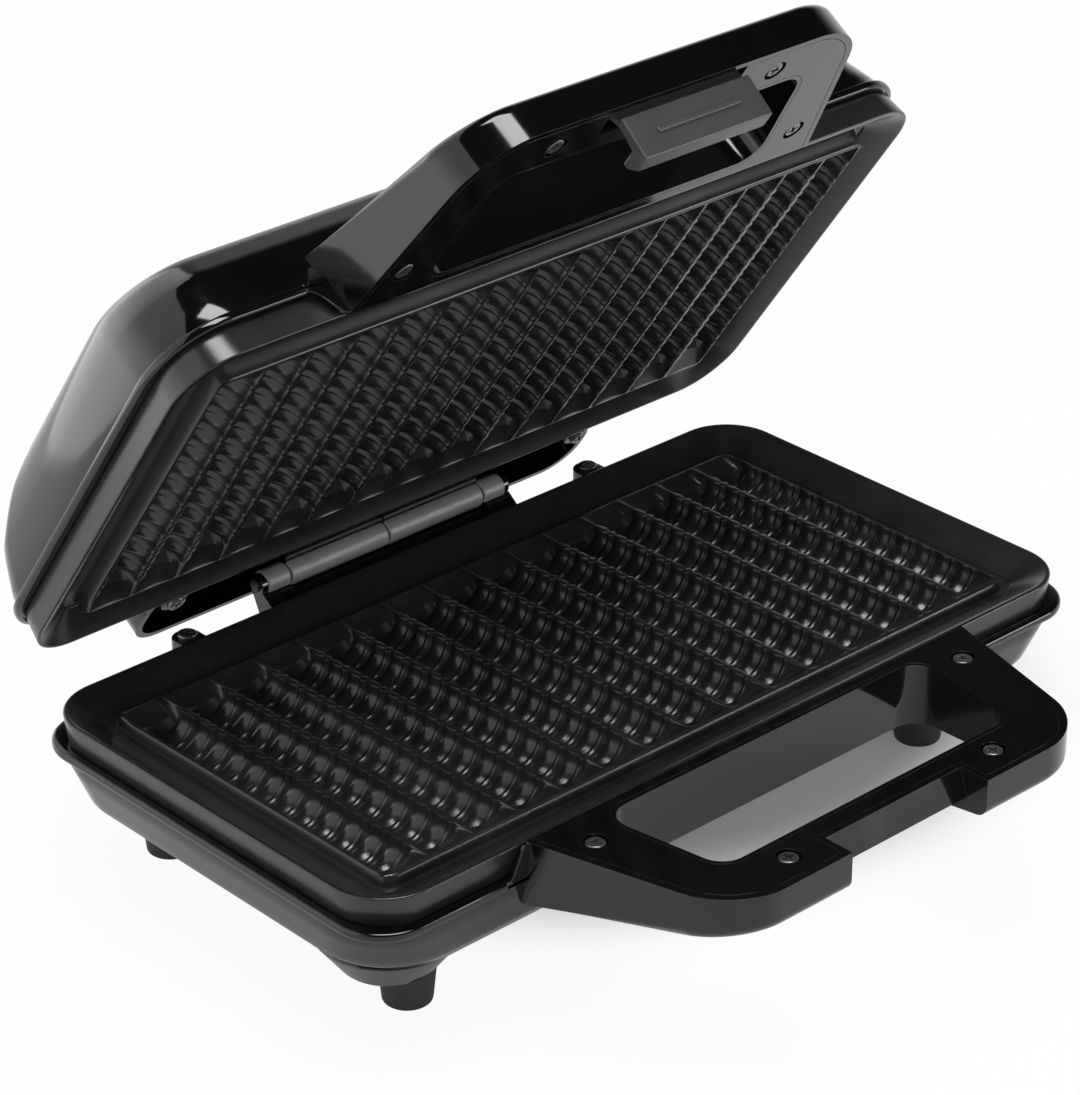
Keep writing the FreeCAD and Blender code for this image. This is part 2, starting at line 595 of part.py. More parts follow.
def opening_outline(grow):
    """Corner points of the finger opening, pushed out by grow."""
    near = f"({FRONT_Y} - hole_start + ({grow}))"
    far = f"({FRONT_Y} - hole_start - hole_depth - ({grow}))"
    root, front = f"(hole_root / 2 + ({grow}))", f"(hole_front / 2 + ({grow}))"
    return [(f"-{root}", near), (f"-{front}", far), (front, far), (root, near)]


def ring_blank(label, grow, tuck, hole_grow, top, thick, underside=None):
    """A loop with rounded corners: outline pushed in by grow, opening pushed out by hole_grow.

    An underside, drawn in side view, is cut off below, and its outer edge is rounded.
    """
    body = new_body(label)
    outline = new_sketch(body, "XY_Plane", top)
    polygon(outline, handle_outline(grow, tuck))
    block = pad(body, outline, thick, reverse=True)
    limit = size(f"{HANDLE_Y} + ({grow})") + 1e-3
    shaped = round_edges(body, block, f"handle_corner - ({grow})",
                         lambda e: upright(e) and e.Vertexes[0].Y < limit)
    if underside:
        slope = new_sketch(body, "YZ_Plane")
        polygon(slope, underside)
        tapered = pad(body, slope, "2 * handle_root", midplane=True, cut=True)
        low, back = size(f"{top} - handle_front_height / 2"), size(f"{FRONT_Y} - lip_reach") + 1e-3
        round_edges(body, tapered, "handle_edge", lambda e: all(v.Z < low and v.Y < back for v in e.Vertexes)
                    and not upright(e) and not root_edge(e))
    opening = new_sketch(body, "XY_Plane", top)
    polygon(opening, opening_outline(hole_grow))
    hole = pad(body, opening, thick, cut=True)
    near, far = size(opening_outline(hole_grow)[0][1]), size(opening_outline(hole_grow)[1][1])
    wide = size(opening_outline(hole_grow)[0][0])
    round_edges(body, hole, f"hole_corner + ({hole_grow})", lambda e: upright(e)
                and abs(e.Vertexes[0].X) < abs(wide) + 1e-3 and far - 1e-3 < e.Vertexes[0].Y < near + 1e-3)
    return body


def side_cut(label, points, width):
    """A prism across the handle, drawn in side view, for cutting."""
    body = new_body(label)
    outline = new_sketch(body, "YZ_Plane")
    polygon(outline, points)
    pad(body, outline, width, midplane=True)
    return body


def cover_screw_places():
    for side in (-1, 1):
        yield f"{side} * root_screw_half", f"{FRONT_Y} - root_screw_place"
        yield f"{side} * front_screw_half", f"{FRONT_Y} - front_screw_place"


def make_handle(label, housing_outside, extra_cuts, kept_wall, group):
    """A moulded loop handle with a tapering underside and a rebate for its cover.

    The rebate stays out of kept_wall, where the handle has a wall round its notch.
    """
    deep, shallow = f"({COVER_Z} - handle_root_height)", f"({COVER_Z} - handle_front_height)"
    root_y, past_y = f"({FRONT_Y} - lip_reach)", f"({HANDLE_Y} - {OVER})"
    underside = ((root_y, deep), (root_y, f"{deep} - {OVER}"), (past_y, f"{deep} - {OVER}"),
                 (past_y, shallow), (HANDLE_Y, shallow))
    ring = ring_blank(label + "_ring", "0", "handle_tuck", "0", COVER_Z, "handle_root_height", underside)
    rebate = ring_blank(label + "_rebate", "cover_inset - cover_clear", "handle_tuck",
                        "cover_lip - cover_clear", COVER_Z, "cover_thick")
    if kept_wall:
        rebate = cut(label + "_rebate_cut", rebate, kept_wall)
    keep_out = box(label + "_keep_out", ("-rim_width / 2", f"{FRONT_Y} - handle_air", LIP_Z),
                   ("rim_width / 2", "0", OVER))
    cuts = [rebate, keep_out, housing_outside] + extra_cuts
    for x, y in cover_screw_places():
        cuts.append(cylinder(label + "_pilot", "screw_shank_radius + fit_clear", "screw_length",
                             (x, y, f"{COVER_Z} - recess_depth - screw_length")))
    part_of(group, cut(label + "_moulding", ring, fuse(label + "_cuts", cuts)), label)


def make_cover(label, extra_cuts, group):
    ring = ring_blank(label + "_ring", "cover_inset", None, "cover_lip", COVER_Z, "cover_thick")
    cuts = list(extra_cuts)
    for x, y in cover_screw_places():
        cuts.append(cylinder(label + "_recess", "recess_radius", "recess_depth",
                             (x, y, f"{COVER_Z} - recess_depth")))
        cuts.append(cylinder(label + "_hole", "screw_shank_radius + fit_clear", "cover_thick",
                             (x, y, f"{COVER_Z} - cover_thick")))
    part_of(group, cut(label + "_plate", ring, fuse(label + "_cuts", cuts)), label)


def make_cover_screws(label, group):
    screws = []
    for x, y in cover_screw_places():
        seat = f"({COVER_Z} - recess_depth)"
        head = cylinder(label + "_head", "screw_head_radius", "screw_head_height", (x, y, seat))
        shank = cylinder(label + "_shank", "screw_shank_radius", "screw_length",
                         (x, y, f"{seat} - screw_length"))
        screws.append(fuse(label + "_screw", [head, shank]))
    part_of(group, fuse(label + "_set", screws), label)


def catch_cut(label, back):
    """The notch of the lower handle, set back by back: a leaning bar with room for the hook under it."""
    top = f"({HANDLE_Y} + catch_depth + {back})"
    toe = f"({HANDLE_Y} + catch_depth - catch_ramp + {back})"
    under = f"({HANDLE_Y} + catch_depth - catch_ramp + catch_under)"
    low = f"({COVER_Z} - catch_height)"
    return side_cut(label, (
        (f"{HANDLE_Y} - {OVER}", OVER), (top, OVER), (top, COVER_Z), (toe, low), (under, low),
        (under, f"{COVER_Z} - 2 * {OVER}"), (f"{HANDLE_Y} - {OVER}", f"{COVER_Z} - 2 * {OVER}")),
        f"catch_width + 2 * {back}")


def make_latch():
    """The latch clip: a barrel on its pin, a set-back neck, a leaning face with a grip rib, and a hook."""
    face = f"({HANDLE_Y} + latch_set)"
    heel = f"({face} + latch_lean)"
    inner = f"({heel} + latch_thick)"
    neck_out = f"({LATCH_Y} - latch_neck / 2)"
    neck_in = f"({LATCH_Y} + latch_neck / 2)"
    tip = f"({inner} + hook_reach)"
    hook_top = "(catch_height + handle_gap / 2 + hook_clear)"
    clip = new_body("latch_profile")
    side = new_sketch(clip, "YZ_Plane")
    polygon(side, ((neck_out, LATCH_Z), (neck_out, "latch_shoulder - latch_slope"), (face, "latch_shoulder"),
                   (heel, "latch_reach"), (f"{inner} + hook_reach / 2", "latch_reach"),
                   (tip, f"{hook_top} + hook_height"), (tip, hook_top), (inner, hook_top),
                   (f"{face} + latch_thick", "latch_shoulder + latch_crook"), (neck_in, LATCH_Z)))
    pad(clip, side, "latch_width", midplane=True)
    barrel = cylinder("latch_barrel", "latch_barrel_radius", "latch_width",
                      ("-latch_width / 2", LATCH_Y, LATCH_Z), "X")
    rib_z = "(latch_reach + latch_shoulder) / 2"
    rib_y = f"({face} + latch_lean / 2)"
    rib = box("latch_rib", ("-rib_width / 2", f"{rib_y} - rib_proud", f"{rib_z} - rib_height / 2"),
              ("rib_width / 2", f"{rib_y} + latch_thick / 2", f"{rib_z} + rib_height / 2"))
    bore = cylinder("latch_bore", "latch_pin_radius + fit_clear", f"latch_width + {OVER}",
                    (f"-latch_width / 2 - {OVER} / 2", LATCH_Y, LATCH_Z), "X")
    part_of(latch_parts, cut("latch_moulding", fuse("latch_blank", [clip, barrel, rib]), bore), "latch_clip")


def latch_pocket(grow):
    """The pocket for the latch in the upper handle or its cover."""
    half = f"(latch_width / 2 + latch_side_gap + {grow})"
    near = f"({HANDLE_Y} + latch_wall)"
    return box("latch_pocket", (f"-{half}", near, "-latch_pocket_depth"),
               (half, f"{near} + latch_pocket_run", OVER))


def latch_axle(label, radius):
    """A rod along the latch axis that ends in the walls beside the pocket."""
    half = "(latch_width / 2 + latch_side_gap + latch_pin_grip)"
    return cylinder(label, radius, f"2 * {half}", (f"-{half}", LATCH_Y, LATCH_Z), "X")


def hinge_arm(label, low_x, high_x, deep):
    """A hinge knuckle with the arm that carries it, before it is fitted to the housing wall."""
    body = new_body(label)
    width = f"({high_x}) - ({low_x})"
    outline = new_sketch(body, "YZ_Plane", low_x)
    root = f"({REAR_Y} + handle_air)"
    neck = "(-barrel_radius / 2)"
    polygon(outline, ((root, f"{LIP_Z} + arm_thick / 2"), (f"{HINGE_Y} - barrel_radius", neck),
                      (f"{HINGE_Y} + arm_thick / 2", neck), (root, deep),
                      (f"{REAR_Y} - side_wall", deep), (f"{REAR_Y} - side_wall", LIP_Z), (root, LIP_Z)))
    pad(body, outline, width)
    barrel = cylinder(label + "_barrel", "barrel_radius", width, (low_x, HINGE_Y, "0"), "X")
    return fuse(label + "_arm", [body, barrel])


def hinge_web(label, half_x):
    """The wall that joins two hinge arms, below the barrels that turn between them and above the gland."""
    body = new_body(label)
    outline = new_sketch(body, "YZ_Plane")
    root = f"({REAR_Y} + handle_air)"
    top = "(-barrel_radius - web_gap)"
    deep = "(-gland_depth + gland_radius + web_gap)"
    polygon(outline, ((root, LIP_Z), (f"{HINGE_Y} - barrel_radius", top), (f"{HINGE_Y} + arm_thick / 2", top),
                      (root, deep), (f"{REAR_Y} - side_wall", deep), (f"{REAR_Y} - side_wall", LIP_Z)))
    pad(body, outline, f"2 * ({half_x})", midplane=True)
    return body


def make_bracket(label, spans, deep, housing_outside, group, web_half=None):
    arms = []
    if web_half:
        arms.append(cut(label + "_web_fit", hinge_web(label + "_web", web_half), housing_outside))
    for i, (low_x, high_x) in enumerate(spans):
        arm = hinge_arm(f"{label}_{i}", low_x, high_x, deep)
        bore = cylinder(f"{label}_bore", "pin_radius + fit_clear", "hinge_length",
                        ("-hinge_length / 2", HINGE_Y, "0"), "X")
        arms.append(cut(f"{label}_knuckle", arm, fuse(f"{label}_fit", [housing_outside, bore])))
    part_of(group, fuse(label + "_set", arms), label)


def make_feet():
    for side, hand in ((-1, "left"), (1, "right")):
        for place, end in ((FRONT_FOOT_Y, "front"), (REAR_FOOT_Y, "rear")):
            spot = (f"{side} * {FOOT_X}", place)
            sole = cone("foot_rubber", "foot_sole_radius", "foot_top_radius", "foot_height",
                        spot + (SOLE_Z,))
            stud = cylinder("foot_stud", "foot_stud_radius", "foot_stud_length", spot + (BOSS_Z,))
            part_of(base_parts, fuse("foot", [sole, stud]), f"{end}_{hand}_foot")


def make_heating(prefix, back_z, group):
    """The heating tube under a plate, its reflector tray and the shoulder screws that hold the tray."""
    tube_z = f"({back_z} - element_radius)"
    tray_top = f"({back_z} - tray_drop)"
    tray_floor = f"({tray_top} - tray_height)"
    bend = doc.addObject("Part::Torus", prefix + "_bend")
    bind(bend, "Radius1", "element_spread / 2")
    bind(bend, "Radius2", "element_radius")
    bend.Angle3 = 180
    bend.Placement.Rotation = FreeCAD.Rotation(FreeCAD.Vector(0, 0, 1), -90)
    bind(bend, "Placement.Base.x", "element_run / 2")
    bind(bend, "Placement.Base.z", tube_z)
    runs = [cylinder(prefix + "_run", "element_radius", "element_run",
                     ("-element_run / 2", f"{side} * element_spread / 2", tube_z), "X") for side in (-1, 1)]
    pins = [cylinder(prefix + "_pin", "element_pin_radius", "element_pin_length + element_radius",
                     ("-element_run / 2 - element_pin_length", f"{side} * element_spread / 2", tube_z), "X")
            for side in (-1, 1)]
    part_of(group, fuse(prefix + "_element", [bend] + runs + pins), prefix + "_heating_element")
    tray = new_body(prefix + "_tray")
    outline = new_sketch(tray, "XY_Plane", tray_top)
    rounded_rectangle(outline, "tray_width / 2", "tray_depth / 2", "tray_corner")
    pad(tray, outline, "tray_height", reverse=True)
    inside = new_sketch(tray, "XY_Plane", tray_top)
    rounded_rectangle(inside, "tray_width / 2 - tray_sheet", "tray_depth / 2 - tray_sheet",
                      "tray_corner - tray_sheet")
    pad(tray, inside, "tray_height - tray_sheet", cut=True)
    holes, screws = [], []
    for side in (-1, 1):
        spot = (f"{side} * {STAY_X}", "0")
        holes.append(cylinder(prefix + "_tray_hole", "stay_radius + fit_clear", "3 * tray_sheet",
                              spot + (f"{tray_floor} - tray_sheet",)))
        shank = cylinder(prefix + "_stay", "stay_radius", f"{back_z} + stay_grip - {tray_floor}",
                         spot + (tray_floor,))
        head = cylinder(prefix + "_stay_head", "stay_head_radius", "stay_head_height",
                        spot + (f"{tray_floor} - stay_head_height",))
        screws.append(fuse(prefix + "_stay_screw", [shank, head]))
    bored = cut(prefix + "_tray_sheet", tray, fuse(prefix + "_tray_holes", holes))
    part_of(group, bored, prefix + "_reflector")
    part_of(group, fuse(prefix + "_stays", screws), prefix + "_reflector_screws")


def make_controls(back_z):
    """The thermostat and the thermal fuse under the lower plate, and the terminal block on the floor."""
    disc = cylinder("thermostat_disc", "thermostat_radius", "thermostat_height",
                    ("0", "0", f"{back_z} - thermostat_height"))
    part_of(base_parts, disc, "thermostat")
    fuse_body = cylinder("fuse_sleeve", "fuse_radius", "fuse_length",
                         ("fuse_place", "-fuse_length / 2", f"{back_z} - fuse_radius"), "Y")
    part_of(base_parts, fuse_body, "thermal_fuse")
    floor = f"({FLOOR_Z} + floor_wall)"
    block = box("block", ("-block_length / 2", "-block_width / 2", floor),
                ("block_length / 2", "block_width / 2", f"{floor} + block_height"))
    part_of(base_parts, block, "terminal_block")


def make_gland(housing_outside):
    """The bush where the mains lead comes in: a flange seated on the rear wall and a neck through it."""
    back = f"({REAR_Y} + gland_reach)"
    flange = cylinder("gland_flange", "gland_radius", OVER, ("0", f"{back} - {OVER}", "-gland_depth"), "Y")
    seated = cut("gland_seat", flange, housing_outside)
    neck = cylinder("gland_neck_tube", "gland_neck", "gland_length - gland_face",
                    ("0", f"{back} - gland_length", "-gland_depth"), "Y")
    bore = cylinder("gland_bore_hole", "gland_bore", "2 * gland_length",
                    ("0", f"{back} - 1.5 * gland_length", "-gland_depth"), "Y")
    part_of(base_parts, cut("gland_bush", fuse("gland_blank", [seated, neck]), bore), "cord_gland")


def make_lamps():
    for side, name in ((-1, "power_lamp_lens"), (1, "ready_lamp_lens")):
        lens = cylinder("lens", "lamp_radius", "floor_wall + lamp_proud",
                        (f"{side} * lamp_spread / 2", "-lamp_place", f"{CROWN_Z} - lamp_proud"))
        part_of(lid_parts, lens, name)


lower_outside = make_lower_housing()
upper_outside = make_upper_housing()
lower_back = make_plate("lower_plate", "lower_field_drop", base_parts)
upper_back = make_plate("upper_plate", "upper_field_drop", lid_parts)
make_plate_screws("lower_plate_screws", base_parts)
make_plate_screws("upper_plate_screws", lid_parts)
notch_wall = catch_cut("notch_wall", "(cover_inset - cover_clear)")
make_handle("lower_handle", lower_outside, [catch_cut("catch_notch", "0")], notch_wall, base_parts)
make_cover("lower_handle_cover", [catch_cut("cover_notch", "cover_inset")], base_parts)
latch_cuts = [latch_pocket("0"), latch_axle("latch_pin_hole", "latch_pin_radius")]
make_handle("upper_handle", upper_outside, latch_cuts, None, lid_parts)
make_cover("upper_handle_cover", [latch_pocket("pocket_clear")], lid_parts)
make_cover_screws("lower_handle_screws", base_parts)
make_cover_screws("upper_handle_screws", lid_parts)
end_x = "hinge_length / 2"
inner_x = "hinge_length / 2 - base_knuckle"
lid_x = f"({inner_x} - knuckle_gap)"
base_spans = ((f"-{end_x}", f"-({inner_x})"), (inner_x, end_x))
lid_spans = ((f"-{lid_x}", "-knuckle_gap / 2"), ("knuckle_gap / 2", lid_x))
web_x = "hinge_length / 2 - base_knuckle / 2"
make_bracket("base_hinge_bracket", base_spans, f"({LIP_Z} - arm_height)", lower_outside, base_parts, web_x)
apron_ceiling = "(apron_wall - apron_drop - apron_height)"
make_bracket("lid_hinge_bracket", lid_spans, apron_ceiling, upper_outside, lid_parts)
hinge_pin = cylinder("hinge_axle", "pin_radius", "hinge_length + 2 * pin_proud",
                     ("-hinge_length / 2 - pin_proud", HINGE_Y, "0"), "X")
part_of(base_parts, hinge_pin, "hinge_pin")
make_feet()
make_heating("lower", lower_back, base_parts)
make_heating("upper", upper_back, lid_parts)
make_controls(lower_back)
make_gland(lower_outside)
make_lamps()
make_latch()
part_of(lid_parts, latch_axle("latch_axle", "latch_pin_radius"), "latch_pin")
doc.recompute()

failed = [item.Label for item in doc.Objects if "Invalid" in item.State or "Error" in item.State]
if failed:
    raise RuntimeError("failed: " + ", ".join(failed))

hinge = FreeCAD.Vector(0, size(HINGE_Y), 0)
turn_over = FreeCAD.Placement(FreeCAD.Vector(), FreeCAD.Rotation(FreeCAD.Vector(0, 1, 0), 180))
open_turn = FreeCAD.Rotation(FreeCAD.Vector(1, 0, 0), -size("lid_angle"))
swing = FreeCAD.Placement(FreeCAD.Vector(), open_turn, hinge)
for item in lid_parts + latch_parts:
    item.Placement = swing.multiply(turn_over).multiply(item.Placement)
whole = FreeCAD.BoundBox()
for item in base_parts + lid_parts + latch_parts:
    whole.add(item.Shape.optimalBoundingBox(False, False))
stand = FreeCAD.Placement(FreeCAD.Vector(0, -whole.Center.y, -whole.ZMin), FreeCAD.Rotation())
for item in base_parts + lid_parts + latch_parts:
    item.Placement = stand.multiply(item.Placement)

os.makedirs("parts", exist_ok=True)
for item in base_parts + lid_parts + latch_parts:
    if item.Shape.isNull() or not item.Shape.isValid():
        raise RuntimeError("bad shape: " + item.Label)
for item in base_parts + lid_parts + latch_parts:
    item.Shape.exportStep(os.path.join("parts", item.Label + ".step"))

latch_axis = swing.multiply(turn_over).multVec(FreeCAD.Vector(0, size(LATCH_Y), size(LATCH_Z)))
print("hinge axis", stand.multVec(hinge))
print("latch axis", stand.multVec(latch_axis))
print("overall", whole.XLength, whole.YLength, whole.ZLength)
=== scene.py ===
import json
import math
import bmesh
import bpy
from mathutils import Matrix, Vector
from mathutils.geometry import interpolate_bezier


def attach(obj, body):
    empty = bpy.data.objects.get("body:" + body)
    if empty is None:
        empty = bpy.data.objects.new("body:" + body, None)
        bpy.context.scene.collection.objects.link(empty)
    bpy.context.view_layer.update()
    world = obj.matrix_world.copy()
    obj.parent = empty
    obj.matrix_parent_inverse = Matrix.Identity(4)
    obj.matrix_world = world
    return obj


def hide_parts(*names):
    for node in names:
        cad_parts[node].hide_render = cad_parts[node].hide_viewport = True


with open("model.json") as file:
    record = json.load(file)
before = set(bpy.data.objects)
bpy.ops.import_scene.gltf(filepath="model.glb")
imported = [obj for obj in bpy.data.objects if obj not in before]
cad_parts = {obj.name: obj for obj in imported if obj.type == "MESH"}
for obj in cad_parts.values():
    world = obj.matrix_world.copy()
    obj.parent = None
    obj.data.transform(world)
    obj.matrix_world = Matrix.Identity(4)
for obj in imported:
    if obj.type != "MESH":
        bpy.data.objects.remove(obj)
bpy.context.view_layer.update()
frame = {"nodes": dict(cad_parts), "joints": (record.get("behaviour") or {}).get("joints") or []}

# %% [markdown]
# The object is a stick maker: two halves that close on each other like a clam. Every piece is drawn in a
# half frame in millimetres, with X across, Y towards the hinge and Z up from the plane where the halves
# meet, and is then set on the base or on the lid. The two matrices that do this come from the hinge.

MM = 0.001
RIM_X, RIM_Y, RIM_CORNER = 165.0, 87.35, 21.0
HINGE_Y = RIM_Y + 13.6
joints = {joint["name"]: joint for joint in frame["joints"]}
hinge = Vector(joints["lid_hinge"]["pos_m"])
lid_angle = math.radians(-joints["lid_hinge"]["range_deg"][0])
TO_HINGE = Matrix.Scale(MM, 4) @ Matrix.Translation((0, -HINGE_Y, 0))
ON_BASE = Matrix.Translation(hinge) @ TO_HINGE
OPENED = Matrix.Rotation(-lid_angle, 4, "X") @ Matrix.Rotation(math.pi, 4, "Y")
ON_LID = Matrix.Translation(hinge) @ OPENED @ TO_HINGE
print("the lid stands open by", round(math.degrees(lid_angle), 1), "degrees")

# %% [markdown]
# The view comes first, because every later choice is judged through it. The lens is long and the camera
# stands well back, so the halves keep almost parallel edges. Its place is in the base's half frame, and
# the sensor's long side lies along the height of the picture.

# %% Camera
EYE = Vector((-823.99, -872.60, 669.31))
AIM = Vector((0.60065, 0.64803, -0.46827))
SENSOR, FOCAL = 36.0, 130.07
scene = bpy.context.scene
lens = bpy.data.cameras.new("long_lens")
lens.sensor_fit = "VERTICAL"
lens.sensor_height = SENSOR
lens.lens = FOCAL
camera = bpy.data.objects.new("long_lens", lens)
scene.collection.objects.link(camera)
camera.location = ON_BASE @ EYE
camera.rotation_euler = AIM.to_track_quat("-Z", "Y").to_euler()
scene.camera = camera
scene.view_settings.view_transform = "Standard"
print("camera at", [round(v, 3) for v in camera.location])

# %% [markdown]
# Nodes are wired in many places below, so one small helper adds a node, sets its options, and fills or
# links its inputs by name. Writing each link by hand would hide what a finish is made of.

# %% A helper for nodes
def add_node(tree, kind, inputs=None, **options):
    """Add a shader node, set its options, and fill or link its inputs."""
    node = tree.nodes.new("ShaderNode" + kind)
    for name, value in options.items():
        setattr(node, name, value)
    for name, value in (inputs or {}).items():
        if isinstance(value, bpy.types.NodeSocket):
            tree.links.new(value, node.inputs[name])
        else:
            node.inputs[name].default_value = value
    return node


def seen_directly(tree):
    """1 for rays that show a thing in the picture, in a mirror or through a lens, and 0 for light."""
    path = add_node(tree, "LightPath")
    names = ("Is Camera Ray", "Is Glossy Ray", "Is Transmission Ray")
    total = path.outputs[names[0]]
    for name in names[1:]:
        total = add_node(tree, "Math", {0: total, 1: path.outputs[name]}, operation="MAXIMUM").outputs[0]
    return total

# %% [markdown]
# The studio is a white sweep under a dark ceiling. Black gloss shows its surroundings more than itself:
# its upright sides mirror the pale sweep and turn grey, while what faces the ceiling stays black. So the
# world is white at the horizon and dark overhead, and the lamps are soft panels.

# %% The world
CEILING, HORIZON = 0.015, 1.0
LOW_SKY, HIGH_SKY = 0.02, 0.53
world = bpy.data.worlds.new("sweep_studio")
world.use_nodes = True
scene.world = world
sky = world.node_tree
sky.nodes.clear()
direction = add_node(sky, "TexCoord").outputs["Generated"]
height = add_node(sky, "SeparateXYZ", {"Vector": direction}).outputs["Z"]
fade = add_node(sky, "MapRange", {"Value": height, "From Min": LOW_SKY, "From Max": HIGH_SKY,
                                  "To Min": HORIZON, "To Max": CEILING}, interpolation_type="SMOOTHSTEP")
glow = add_node(sky, "Background", {"Color": fade.outputs[0], "Strength": 1.0})
add_node(sky, "OutputWorld", {"Surface": glow.outputs[0]})
print("world from", HORIZON, "at the horizon to", CEILING, "overhead")

# %% [markdown]
# The floor is white paper. Far from the object it glows, for the camera and in reflections, so that it
# runs out to plain white. Under the object it is only paper, so that the shadow between the feet stays. An
# oval mask on Object coordinates fades between the two. Gloss sees a wider oval, because low walls mirror
# the paper that lies in their own shade.

# %% The floor
FLOOR_SIZE, FLOOR_WHITE = 14.0, 0.9
SHADE_AT, SHADE_OVAL, SHADE_INNER, SHADE_OUTER = (0.07, 0.02), (0.13, 0.09), 0.7, 1.4
GLOW_NEAR, GLOW_FAR = 0.10, 0.94
GLOSS_WIDER = 0.8
bpy.ops.object.select_all(action="DESELECT")
bpy.ops.mesh.primitive_plane_add(size=FLOOR_SIZE)
floor = bpy.context.object
floor.name = floor.data.name = "white_sweep"
paper = bpy.data.materials.new("white_sweep")
paper.use_nodes = True
tree = paper.node_tree
tree.nodes.clear()
matte = add_node(tree, "BsdfDiffuse", {"Color": (FLOOR_WHITE, FLOOR_WHITE, FLOOR_WHITE, 1.0)})
shine = add_node(tree, "Emission", {"Color": (1.0, 1.0, 1.0, 1.0), "Strength": 1.0})
place = add_node(tree, "TexCoord").outputs["Object"]
inward = add_node(tree, "VectorMath", {0: place, 1: (*SHADE_AT, 0.0)}, operation="SUBTRACT").outputs[0]
oval = add_node(tree, "VectorMath", {0: inward, 1: (*SHADE_OVAL, 1.0)}, operation="DIVIDE")
reach = add_node(tree, "VectorMath", {0: oval.outputs[0]}, operation="LENGTH").outputs["Value"]
mirrored_ray = add_node(tree, "LightPath").outputs["Is Glossy Ray"]
wider = add_node(tree, "Math", {0: mirrored_ray, 1: GLOSS_WIDER, 2: 1.0}, operation="MULTIPLY_ADD").outputs[0]
reach = add_node(tree, "Math", {0: reach, 1: wider}, operation="DIVIDE").outputs[0]
paper_glow = add_node(tree, "MapRange", {
    "Value": reach, "From Min": SHADE_INNER, "From Max": SHADE_OUTER,
    "To Min": GLOW_NEAR, "To Max": GLOW_FAR}, interpolation_type="SMOOTHSTEP").outputs[0]
share = add_node(tree, "Math", {0: seen_directly(tree), 1: paper_glow}, operation="MULTIPLY").outputs[0]
both = add_node(tree, "MixShader", {0: share, 1: matte.outputs[0], 2: shine.outputs[0]})
add_node(tree, "OutputMaterial", {"Surface": both.outputs[0]})
floor.data.materials.append(paper)
print("floor", FLOOR_SIZE, "m wide")

# %% [markdown]
# Two panels light the object and are hidden from gloss. Three more are only there to be mirrored: a corner
# panel gives the square glints on the rounded corners, a low card turns the walls on its side grey, and an
# edge panel draws bright lines along the rounded edges of the upper plate.

# %% The soft panels
PANELS = {"ceiling_panel": ((0.0, 0.0, 1.0), 2.6, (3.2, 3.2), 88.0, False),
          "front_panel": ((-0.55, -0.75, 0.35), 2.2, (1.2, 1.2), 12.0, False),
          "corner_panel": ((0.05, -0.11, 0.96), 1.5, (0.6, 0.95), 21.0, True),
          "side_card": ((-0.72, 0.69, 0.42), 0.5, (1.3, 0.75), 3.6, True),
          "edge_panel": ((0.62, -0.74, 0.10), 1.6, (0.8, 0.5), 9.0, True)}
MIDDLE = Vector((0.0, 0.0, 0.12))
for name, (toward, away, size, watts, mirrored) in PANELS.items():
    panel = bpy.data.lights.new(name, "AREA")
    panel.shape = "RECTANGLE"
    panel.size, panel.size_y = size
    panel.energy = watts
    lamp = bpy.data.objects.new(name, panel)
    scene.collection.objects.link(lamp)
    lamp.location = MIDDLE + Vector(toward).normalized() * away
    lamp.rotation_euler = Vector(toward).to_track_quat("Z", "Y").to_euler()
    lamp.visible_glossy = mirrored
    lamp.visible_diffuse = not mirrored
print(len(PANELS), "soft panels")

# %% [markdown]
# Moulded plastic, cast metal and rubber differ mostly in their grain. Three shared effects cover them: a
# fine grain for bumps, slow clouds for uneven colour and gloss, and thin wipe marks. Each is a node group
# with its own sizes, read from Object coordinates so that nothing stretches.

# %% Shared effects
GRAIN_ROUGH = 0.6
CLOUD_DETAIL, CLOUD_MIDDLE = 4.0, 0.5
WIPE_STRETCH, WIPE_DETAIL, WIPE_ROUGH = (1.0, 0.12, 0.5), 6.0, 0.7
WIPE_START, WIPE_END = 0.75, 0.8


def new_effect(name, inputs, output):
    """An empty node group with number inputs, one number output and Object coordinates."""
    group = bpy.data.node_groups.new(name, "ShaderNodeTree")
    for label, value in inputs:
        socket = group.interface.new_socket(label, in_out="INPUT", socket_type="NodeSocketFloat")
        socket.default_value = value
    group.interface.new_socket(output, in_out="OUTPUT", socket_type="NodeSocketFloat")
    entry = group.nodes.new("NodeGroupInput")
    place = add_node(group, "TexCoord").outputs["Object"]
    return group, entry, place


def leave_effect(group, value):
    """Put a value out of a node group."""
    group.links.new(value, group.nodes.new("NodeGroupOutput").inputs[0])


grain, entry, place = new_effect("fine_grain", [("Scale", 900.0), ("Detail", 3.0)], "Height")
bumps = add_node(grain, "TexNoise", {"Vector": place, "Scale": entry.outputs["Scale"],
                                     "Detail": entry.outputs["Detail"], "Roughness": GRAIN_ROUGH})
leave_effect(grain, bumps.outputs[0])

clouds, entry, place = new_effect("slow_clouds", [("Scale", 14.0), ("Contrast", 0.3)], "Mask")
puffs = add_node(clouds, "TexNoise", {"Vector": place, "Scale": entry.outputs["Scale"],
                                      "Detail": CLOUD_DETAIL})
about_middle = {0: CLOUD_MIDDLE, 1: entry.outputs["Contrast"]}
low = add_node(clouds, "Math", about_middle, operation="SUBTRACT").outputs[0]
high = add_node(clouds, "Math", about_middle, operation="ADD").outputs[0]
spread = add_node(clouds, "MapRange", {"Value": puffs.outputs[0], "From Min": low, "From Max": high})
leave_effect(clouds, spread.outputs[0])

